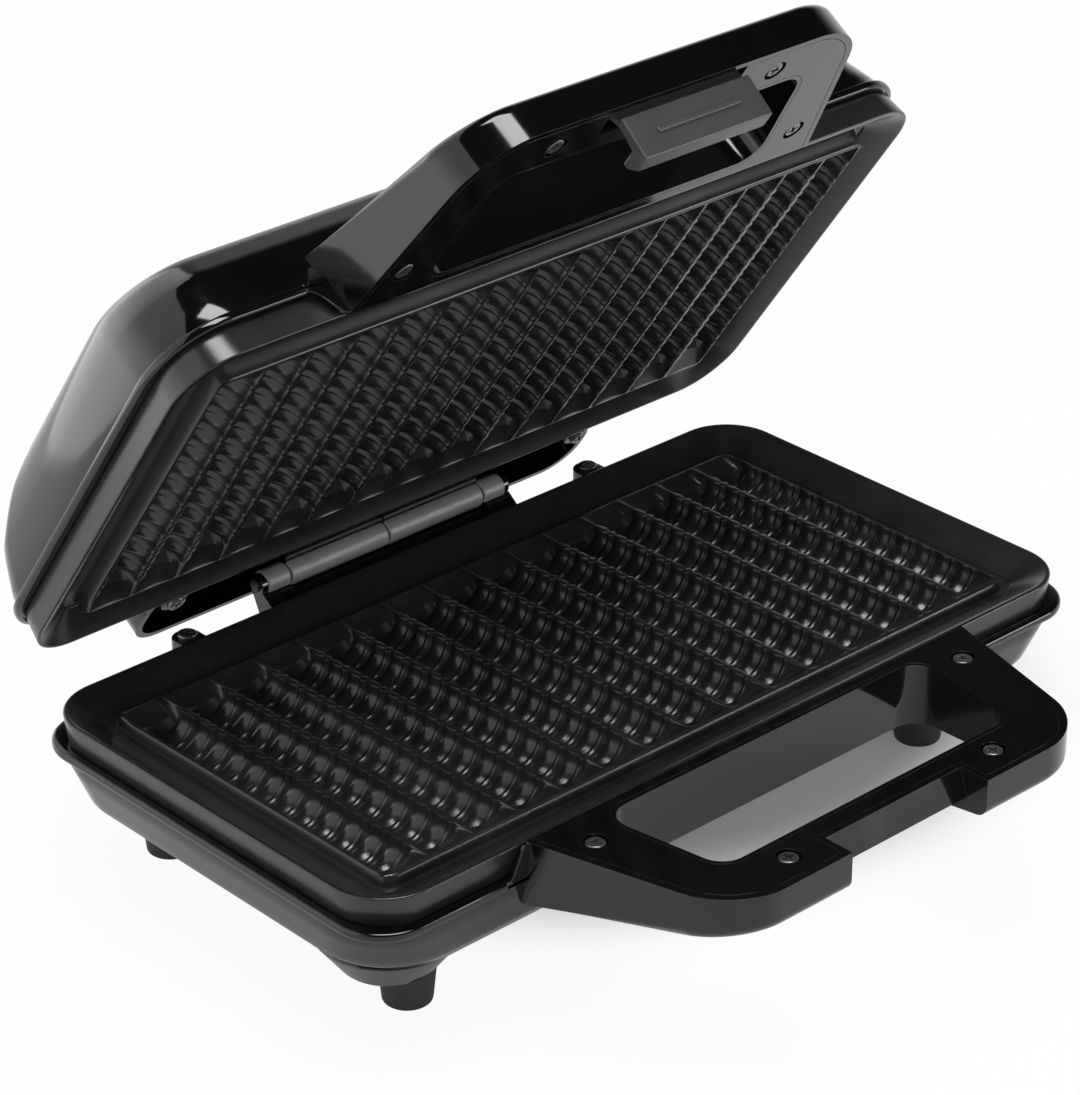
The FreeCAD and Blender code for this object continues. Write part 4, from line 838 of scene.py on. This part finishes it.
lid_shell = shell("lid_shell", LID_DEPTH, True, LID_SIDES, LID_CORNERS)
skirt = soften(apron(), APRON_SOFT)
settle(join([lid_shell, skirt] + posts("lid_post")), ON_LID, "lid", "gloss_black", "upper_housing")

# %% [markdown]
# A handle is a loop that tapers towards its front, with a flat cover let into it. Its outline is a filled
# circle with one vertex for each corner: the corners are dragged to their places, the front ones bevelled,
# and the face extruded. A bisect cuts the sloping underside, and closed shapes are taken out for the
# opening, the rebate and the notch.

# %% Outlines and prisms
FRONT_Y, HANDLE_Y, COVER_Z = -RIM_Y, -RIM_Y - 76.2, -0.6
ROOT_Y, TUCK = -RIM_Y - 0.7, 8.0
ROOT_HALF, FRONT_HALF, HANDLE_CORNER, HANDLE_EDGE = 103.5, 83.0, 27.0, 4.0
HOLE_NEAR, HOLE_FAR, HOLE_ROOT, HOLE_FRONT, HOLE_CORNER = -RIM_Y - 6.2, -RIM_Y - 54.2, 75.0, 67.5, 9.0
COVER_INSET, COVER_LIP, COVER_THICK, COVER_AIR = 2.6, 1.8, 3.0, 0.15
CLEAR_OF, ARC = 40.0, 10


def flat_shape(name, points):
    """A filled circle whose vertices are dragged to the corners of an outline."""
    clear_selection()
    bpy.ops.mesh.primitive_circle_add(vertices=len(points), radius=1, fill_type="NGON")
    piece = open_new(name)
    mesh = bmesh.from_edit_mesh(piece.data)
    mesh.verts.ensure_lookup_table()
    for vertex, point in zip(mesh.verts, points):
        vertex.co = point
    bmesh.update_edit_mesh(piece.data)
    return piece


def round_corners(piece, rounds):
    """Bevel the vertices at the given points, each to its radius."""
    for (x, y), before, after, radius in rounds:
        sides = [(Vector(spot) - Vector((x, y))).normalized() for spot in (before, after)]
        slide = radius / math.tan(sides[0].angle(sides[1]) / 2)
        pick(piece, "verts", lambda v: abs(v.co.x - x) < NEAR and abs(v.co.y - y) < NEAR)
        bpy.ops.mesh.bevel(offset=slide, segments=ARC, affect="VERTICES", clamp_overlap=False)


def prism(name, outline, radii, top, thick):
    """A flat outline with some corners rounded, extruded downwards."""
    piece = flat_shape(name, [(x, y, top) for x, y in outline])
    count = len(outline)
    round_corners(piece, [(outline[i], outline[i - 1], outline[(i + 1) % count], radii[i])
                          for i in range(count) if radii[i]])
    bpy.ops.mesh.select_all(action="SELECT")
    push(z=-thick)
    return close_up(piece)


def side_prism(name, outline, half):
    """An outline in side view, extruded across the handle."""
    piece = flat_shape(name, [(-half, y, z) for y, z in outline])
    bpy.ops.mesh.select_all(action="SELECT")
    push(x=2 * half)
    return close_up(piece)


def loop_outline(grow, tuck):
    """Corners of the handle, pushed in by grow, with its root carried back by tuck."""
    root, front, far = ROOT_HALF - grow, FRONT_HALF - grow, HANDLE_Y + grow
    back = [(root, ROOT_Y), (root, ROOT_Y + tuck), (-root, ROOT_Y + tuck), (-root, ROOT_Y)]
    return (back if tuck else [back[0], back[3]]) + [(-front, far), (front, far)]


def opening(name, grow):
    """A block for cutting the finger opening, made wider by grow."""
    root, front, near, far = HOLE_ROOT + grow, HOLE_FRONT + grow, HOLE_NEAR + grow, HOLE_FAR - grow
    corners = [(root, near), (-root, near), (-front, far), (front, far)]
    return prism(name, corners, [HOLE_CORNER + grow] * len(corners), CLEAR_OF, 2 * CLEAR_OF)


def block(name, low, high):
    """A plain box for cutting with."""
    clear_selection()
    bpy.ops.mesh.primitive_cube_add(size=1, location=[(a + b) / 2 for a, b in zip(low, high)])
    bpy.context.object.scale = [b - a for a, b in zip(low, high)]
    piece = open_new(name)
    bpy.ops.object.mode_set(mode="OBJECT")
    return piece

# %% [markdown]
# The lower handle has a notch with a leaning bar that the latch hooks under, and the upper one a pocket
# that the latch turns in. The notch leans, so it is drawn from the side; the pocket is a plain block. Both
# are made a little larger where they are cut out of the cover, so that its edge stands back.

# %% The notch and the pocket
CATCH_HALF, CATCH_DEPTH, CATCH_RAMP, CATCH_TALL, CATCH_UNDER = 32.0, 11.9, 3.4, 9.9, 6.5
LATCH_HALF, POCKET_GAP, POCKET_WALL, POCKET_RUN, POCKET_DEPTH = 28.0, 1.5, 2.3, 11.6, 9.2


def notch(grow):
    """The catch notch, set back by grow."""
    top, toe = HANDLE_Y + CATCH_DEPTH + grow, HANDLE_Y + CATCH_DEPTH - CATCH_RAMP + grow
    under, low = HANDLE_Y + CATCH_DEPTH - CATCH_RAMP + CATCH_UNDER, COVER_Z - CATCH_TALL
    past = HANDLE_Y - CLEAR_OF
    return side_prism("notch", [(past, CLEAR_OF), (top, CLEAR_OF), (top, COVER_Z), (toe, low), (under, low),
                                (under, -CLEAR_OF), (past, -CLEAR_OF)], CATCH_HALF + grow)


def pocket(grow):
    """The pocket of the latch, made wider by grow."""
    near, half = HANDLE_Y + POCKET_WALL, LATCH_HALF + POCKET_GAP + grow
    return block("pocket", (-half, near, -POCKET_DEPTH), (half, near + POCKET_RUN, CLEAR_OF))

# %% [markdown]
# Where a handle leaves its housing, the bead of the housing ends in an S that sweeps up to the handle's
# top edge. It is a Bezier curve in front view, pushed forward as far as the bead stands out. The underside of
# a handle rises towards its front and has a wide round edge on its sides, while the top edges are only
# softened.

# %% The two handles
SWEEP_LONG, SWEEP_TUCK, SWEEP_SINK, SWEEP_STEPS, SWEEP_EDGE = 9.0, 1.0, -0.2, 12, 0.4
ROOT_DEEP, FRONT_DEEP, HANDLE_SOFT = 24.0, 14.2, 0.6
FACING_DOWN, UPRIGHT, WALL_CLEAR = -0.7, 0.3, 1.0


def lip_sweep(side):
    """The end of the housing's bead, which sweeps up to the top edge of the handle's root."""
    start, end = side * (ROOT_HALF + SWEEP_LONG), side * (ROOT_HALF - SWEEP_TUCK)
    middle = (start + end) / 2
    top = LIP_TOP + SWEEP_SINK
    rise = interpolate_bezier(Vector((start, top, 0)), Vector((middle, top, 0)), Vector((middle, COVER_Z, 0)),
                              Vector((end, COVER_Z, 0)), SWEEP_STEPS)
    outline = [(spot.x, spot.y) for spot in rise] + [(end, STEP), (start, STEP)]
    piece = flat_shape("lip_sweep", [(x, ROOT_Y, z) for x, z in outline])
    bpy.ops.mesh.select_all(action="SELECT")
    push(y=FRONT_Y - LIP_OUT - ROOT_Y)
    return soften(close_up(piece), SWEEP_EDGE)


def under_edge(edge):
    """Whether an edge lies between the underside of a handle and its sides."""
    tilts = [face.normal.z for face in edge.link_faces]
    if len(tilts) != 2 or any(v.co.y >= FRONT_Y - LIP_OUT + WALL_CLEAR for v in edge.verts):
        return False
    return min(tilts) < FACING_DOWN and min(abs(tilt) for tilt in tilts) < UPRIGHT


def handle_blank(name):
    """A handle before anything is cut out of it."""
    piece = prism(name, loop_outline(0.0, TUCK), [0] * 4 + [HANDLE_CORNER] * 2, COVER_Z, ROOT_DEEP)
    choose(piece)
    bpy.ops.object.mode_set(mode="EDIT")
    bpy.ops.mesh.select_all(action="SELECT")
    start = Vector((0, FRONT_Y - LIP_OUT, COVER_Z - ROOT_DEEP))
    slope = Vector((0, HANDLE_Y, COVER_Z - FRONT_DEEP)) - start
    below = Vector((1, 0, 0)).cross(slope).normalized()
    bpy.ops.mesh.bisect(plane_co=start, plane_no=below, use_fill=True, clear_outer=True)
    bpy.ops.mesh.select_all(action="SELECT")
    bpy.ops.mesh.normals_make_consistent(inside=False)
    pick(piece, "edges", under_edge)
    bpy.ops.mesh.bevel(offset=HANDLE_EDGE, segments=8, affect="EDGES")
    bpy.ops.object.mode_set(mode="OBJECT")
    return piece


def handle(name, lower):
    """A loop with its opening, the rebate for its cover, and the notch or the pocket."""
    piece = handle_blank(name)
    cut_away(piece, opening("hole", 0.0))
    keep_out = block("keep_out", (-RIM_X, ROOT_Y, LIP_TOP), (RIM_X, 0, CLEAR_OF))
    cut_away(piece, keep_out)
    radii = [0] * 4 + [HANDLE_CORNER - COVER_INSET] * 2
    rebate = prism("rebate", loop_outline(COVER_INSET - COVER_AIR, TUCK), radii, COVER_Z + 1, COVER_THICK + 1)
    cut_away(rebate, opening("hole_wall", COVER_LIP - COVER_AIR))
    if lower:
        cut_away(rebate, notch(COVER_INSET - COVER_AIR))
    cut_away(piece, rebate)
    cut_away(piece, notch(0.0) if lower else pocket(0.0))
    return join([soften(piece, HANDLE_SOFT)] + [lip_sweep(side) for side in (-1, 1)])


settle(handle("lower_loop_handle", True), ON_BASE, "base", "gloss_black", "lower_handle")
settle(handle("upper_loop_handle", False), ON_LID, "lid", "gloss_black", "upper_handle")

# %% [markdown]
# A cover is a thin plate of the same outline, a little smaller than its rebate, so that a fine seam shows.
# It has four round recesses for the heads of its screws.

# %% The two covers
SCREWS = [(side * x, FRONT_Y - y) for side in (-1, 1) for x, y in ((87.0, 16.0), (48.5, 63.8))]
RECESS_RADIUS, RECESS_DEPTH = 4.3, 1.9
POCKET_AIR, COVER_SOFT = 0.4, 0.35


def cover(name, lower):
    """A cover with its opening, the place for the latch and four screw recesses."""
    radii = [0, 0] + [HANDLE_CORNER - COVER_INSET] * 2
    piece = prism(name, loop_outline(COVER_INSET, 0.0), radii, COVER_Z, COVER_THICK)
    cut_away(piece, opening("cover_hole", COVER_LIP))
    cut_away(piece, notch(COVER_INSET) if lower else pocket(POCKET_AIR))
    for x, y in SCREWS:
        clear_selection()
        bpy.ops.mesh.primitive_cylinder_add(vertices=48, radius=RECESS_RADIUS, depth=2 * RECESS_DEPTH,
                                            location=(x, y, COVER_Z))
        tool = open_new("recess")
        bpy.ops.object.mode_set(mode="OBJECT")
        cut_away(piece, tool)
    return soften(piece, COVER_SOFT)


settle(cover("lower_loop_cover", True), ON_BASE, "base", "gloss_black", "lower_handle_cover")
settle(cover("upper_loop_cover", False), ON_LID, "lid", "gloss_black", "upper_handle_cover")

# %% [markdown]
# A cross-head screw is a low cylinder with a rounded crown, a cross cut into it and a shank below. One is
# modelled and copied to every place, each copy with its own mesh.

# %% Screws
HEAD_RADIUS, HEAD_TALL, SHANK_RADIUS, SHANK_LONG = 3.5, 1.7, 1.5, 9.0
CROSS_LONG, CROSS_WIDE, CROSS_DEEP = 4.2, 0.95, 1.0
HEAD_ROUND, HEAD_SOFT, SHANK_TAPER, SHANK_LAP, SHANK_EDGE = 0.8, 0.12, 0.8, 0.1, 0.3
FIRST_TURN, NEXT_TURN = 0.5, 0.9


def cross_screw(name):
    """One screw, with the underside of its head at the origin."""
    clear_selection()
    bpy.ops.mesh.primitive_cylinder_add(vertices=40, radius=HEAD_RADIUS, depth=HEAD_TALL,
                                        location=(0, 0, HEAD_TALL / 2))
    piece = open_new(name)
    pick(piece, "edges", lambda e: e.calc_face_angle(0) > SHARP and all(
        v.co.z > HEAD_TALL - NEAR for v in e.verts))
    bpy.ops.mesh.bevel(offset=HEAD_ROUND, segments=5, affect="EDGES")
    bpy.ops.object.mode_set(mode="OBJECT")
    for long, wide in ((CROSS_LONG, CROSS_WIDE), (CROSS_WIDE, CROSS_LONG)):
        low, high = (-long / 2, -wide / 2, HEAD_TALL - CROSS_DEEP), (long / 2, wide / 2, HEAD_TALL + 1)
        cut_away(piece, block("slot", low, high))
    soften(piece, HEAD_SOFT, 2)
    shank = cone("shank", SHANK_RADIUS * SHANK_TAPER, SHANK_RADIUS, -SHANK_LONG, SHANK_LONG + SHANK_LAP,
                 0, 0, SHANK_EDGE)
    return join([piece, shank])


def spread_screws(name, places):
    """Copies of the screw at each place, as one set."""
    model = cross_screw(name)
    copies = []
    for turn, (x, y, z) in enumerate(places):
        copy = bpy.data.objects.new(name, model.data.copy())
        scene.collection.objects.link(copy)
        turned = Matrix.Rotation(FIRST_TURN + NEXT_TURN * turn, 4, "Z")
        copy.data.transform(Matrix.Translation((x, y, z)) @ turned)
        copies.append(copy)
    bpy.data.objects.remove(model)
    copies[0].name = copies[0].data.name = name
    return join(copies)


cover_places = [(x, y, COVER_Z - RECESS_DEPTH) for x, y in SCREWS]
ear_places = [(side * EAR_X, EAR_Y, EAR_TOP) for side in (-1, 1)]
for half, matrix, body in (("lower", ON_BASE, "base"), ("upper", ON_LID, "lid")):
    in_cover = spread_screws(half + "_cover_cross_screws", cover_places)
    settle(in_cover, matrix, body, "dark_screw", half + "_handle_screws")
    in_ears = spread_screws(half + "_ear_cross_screws", ear_places)
    settle(in_ears, matrix, body, "dark_screw", half + "_plate_screws")

# %% [markdown]
# The latch is a bent clip that hangs from its pin under the upper handle. Its side view is one outline,
# extruded to the clip's width, with a grip rib across its face.

# %% Latch clip
LATCH_Y, LATCH_Z = HANDLE_Y + 7.0, -5.2
LATCH_FACE, LATCH_LEAN, LATCH_THICK, LATCH_NECK, LATCH_REACH = HANDLE_Y + 2.6, 1.7, 3.4, 3.4, 17.0
SHOULDER, HOOK_TOP, HOOK_TALL, HOOK_REACH = 2.0, 11.4, 2.2, 6.6
SHOULDER_DROP, SHOULDER_THICK, LATCH_SOFT = 0.3, 1.5, 0.5
GRIP_HALF, GRIP_TALL, GRIP_PROUD, GRIP_SOFT = 18.0, 1.8, 1.0, 0.45
LATCH_BARREL, LATCH_BARREL_EDGE = 2.7, 0.4


def rod(name, radius, span, y, z, edge):
    """A round bar along X with rounded ends."""
    clear_selection()
    bpy.ops.mesh.primitive_cylinder_add(vertices=48, radius=radius, depth=span[1] - span[0],
                                        location=(sum(span) / 2, y, z), rotation=(0, math.pi / 2, 0))
    piece = open_new(name)
    bpy.ops.object.mode_set(mode="OBJECT")
    return soften(piece, edge)


def latch():
    """The clip with its grip rib and the barrel that it turns on."""
    heel, inner = LATCH_FACE + LATCH_LEAN, LATCH_FACE + LATCH_LEAN + LATCH_THICK
    tip = inner + HOOK_REACH
    clip = side_prism("latch_hook_clip", [
        (LATCH_Y - LATCH_NECK / 2, LATCH_Z), (LATCH_Y - LATCH_NECK / 2, SHOULDER - SHOULDER_DROP),
        (LATCH_FACE, SHOULDER), (heel, LATCH_REACH), (inner + HOOK_REACH / 2, LATCH_REACH),
        (tip, HOOK_TOP + HOOK_TALL), (tip, HOOK_TOP), (inner, HOOK_TOP),
        (LATCH_FACE + LATCH_THICK, SHOULDER + SHOULDER_THICK),
        (LATCH_Y + LATCH_NECK / 2, LATCH_Z)], LATCH_HALF)
    soften(clip, LATCH_SOFT)
    middle_z, middle_y = (LATCH_REACH + SHOULDER) / 2, LATCH_FACE + LATCH_LEAN / 2
    rib = block("rib", (-GRIP_HALF, middle_y - GRIP_PROUD, middle_z - GRIP_TALL / 2),
                (GRIP_HALF, middle_y + 1, middle_z + GRIP_TALL / 2))
    soften(rib, GRIP_SOFT)
    barrel = rod("barrel", LATCH_BARREL, (-LATCH_HALF, LATCH_HALF), LATCH_Y, LATCH_Z, LATCH_BARREL_EDGE)
    return join([clip, rib, barrel])


settle(latch(), ON_LID, "latch", "latch_grey", "latch_clip")

# %% [markdown]
# The feet are short rubber cones under the bosses. Such a foot has a hollow in its sole, so that it grips,
# and the sole's face is inset and pushed up for it.

# %% Feet
SOLE_Z, SOLE_RADIUS, FOOT_RADIUS, FOOT_EDGE = -68.5, 8.5, 10.0, 0.9
HOLLOW_RIM, HOLLOW_DEEP, FLAT_DOWN = 3.2, 2.5, -0.99


def foot(name, x, y):
    """A rubber foot with a hollow in its sole."""
    piece = cone(name, SOLE_RADIUS, FOOT_RADIUS, SOLE_Z, BOSS_Z - SOLE_Z, x, y, FOOT_EDGE)
    choose(piece)
    bpy.ops.object.mode_set(mode="EDIT")
    pick(piece, "faces", lambda f: f.normal.z < FLAT_DOWN and len(f.verts) > 8)
    bpy.ops.mesh.inset(thickness=HOLLOW_RIM)
    push(z=HOLLOW_DEEP)
    bpy.ops.object.mode_set(mode="OBJECT")
    return piece


for end, y in (("front", FRONT_FOOT_Y), ("rear", REAR_FOOT_Y)):
    for hand, side in (("left", -1), ("right", 1)):
        piece = foot(f"{end}_{hand}_rubber_foot", side * FOOT_X, y)
        settle(piece, ON_BASE, "base", "foot_rubber", f"{end}_{hand}_foot")

# %% [markdown]
# The hinge's arms are moulded like the housings and black as they are. They start from the solids, which
# have the right shape and only lack soft edges. Grey barrels with a coarse grain turn on the pin between
# them: two long ones on the lid and two short ones on the base.

# %% Hinge
ARM_SOFT = 0.4
BARREL_RADIUS, BARREL_EDGE, BARREL_SEAM, BARREL_JOINT, BARREL_END = 4.7, 0.6, 0.35, 46.0, 56.5
for half, matrix, low, high in (("base", ON_BASE, BARREL_JOINT + BARREL_SEAM, BARREL_END),
                                ("lid", ON_LID, BARREL_SEAM, BARREL_JOINT - BARREL_SEAM)):
    node = half + "_hinge_bracket"
    arms = soften(copy_of(node, matrix, half + "_hinge_arms"), ARM_SOFT)
    settle(arms, matrix, half, "gloss_black", node)
    spans = ((-high, -low), (low, high))
    barrels = [rod("barrel", BARREL_RADIUS, span, HINGE_Y, 0.0, BARREL_EDGE) for span in spans]
    barrels[0].name = barrels[0].data.name = half + "_hinge_barrels"
    settle(join(barrels), matrix, half, "hinge_black", node)

# %% [markdown]
# The bush of the lead is rubber and also starts from its solid. The two lamps on the lid are small
# coloured lenses with a clear coat: flat cones with a rounded rim that stand a little out of the lid.

# %% The lead's bush and the lamps
BUSH_SOFT = 0.5
LENS_HIGH, LENS_RADIUS, LENS_Z, LENS_TALL, LENS_EDGE = 3.2, 4.0, -51.4, 3.5, 0.5
LENS_X, LENS_Y = 13.0, -40.0
bush = soften(copy_of("cord_gland", ON_BASE, "lead_bush"), BUSH_SOFT)
settle(bush, ON_BASE, "base", "gland_rubber", "cord_gland")
for side, node, slot in ((-1, "power_lamp_lens", "red_lens"), (1, "ready_lamp_lens", "green_lens")):
    lens_name = node.replace("_lens", "_dome")
    dome = cone(lens_name, LENS_HIGH, LENS_RADIUS, LENS_Z, LENS_TALL, side * LENS_X, LENS_Y, LENS_EDGE)
    settle(dome, ON_LID, "lid", slot, node)
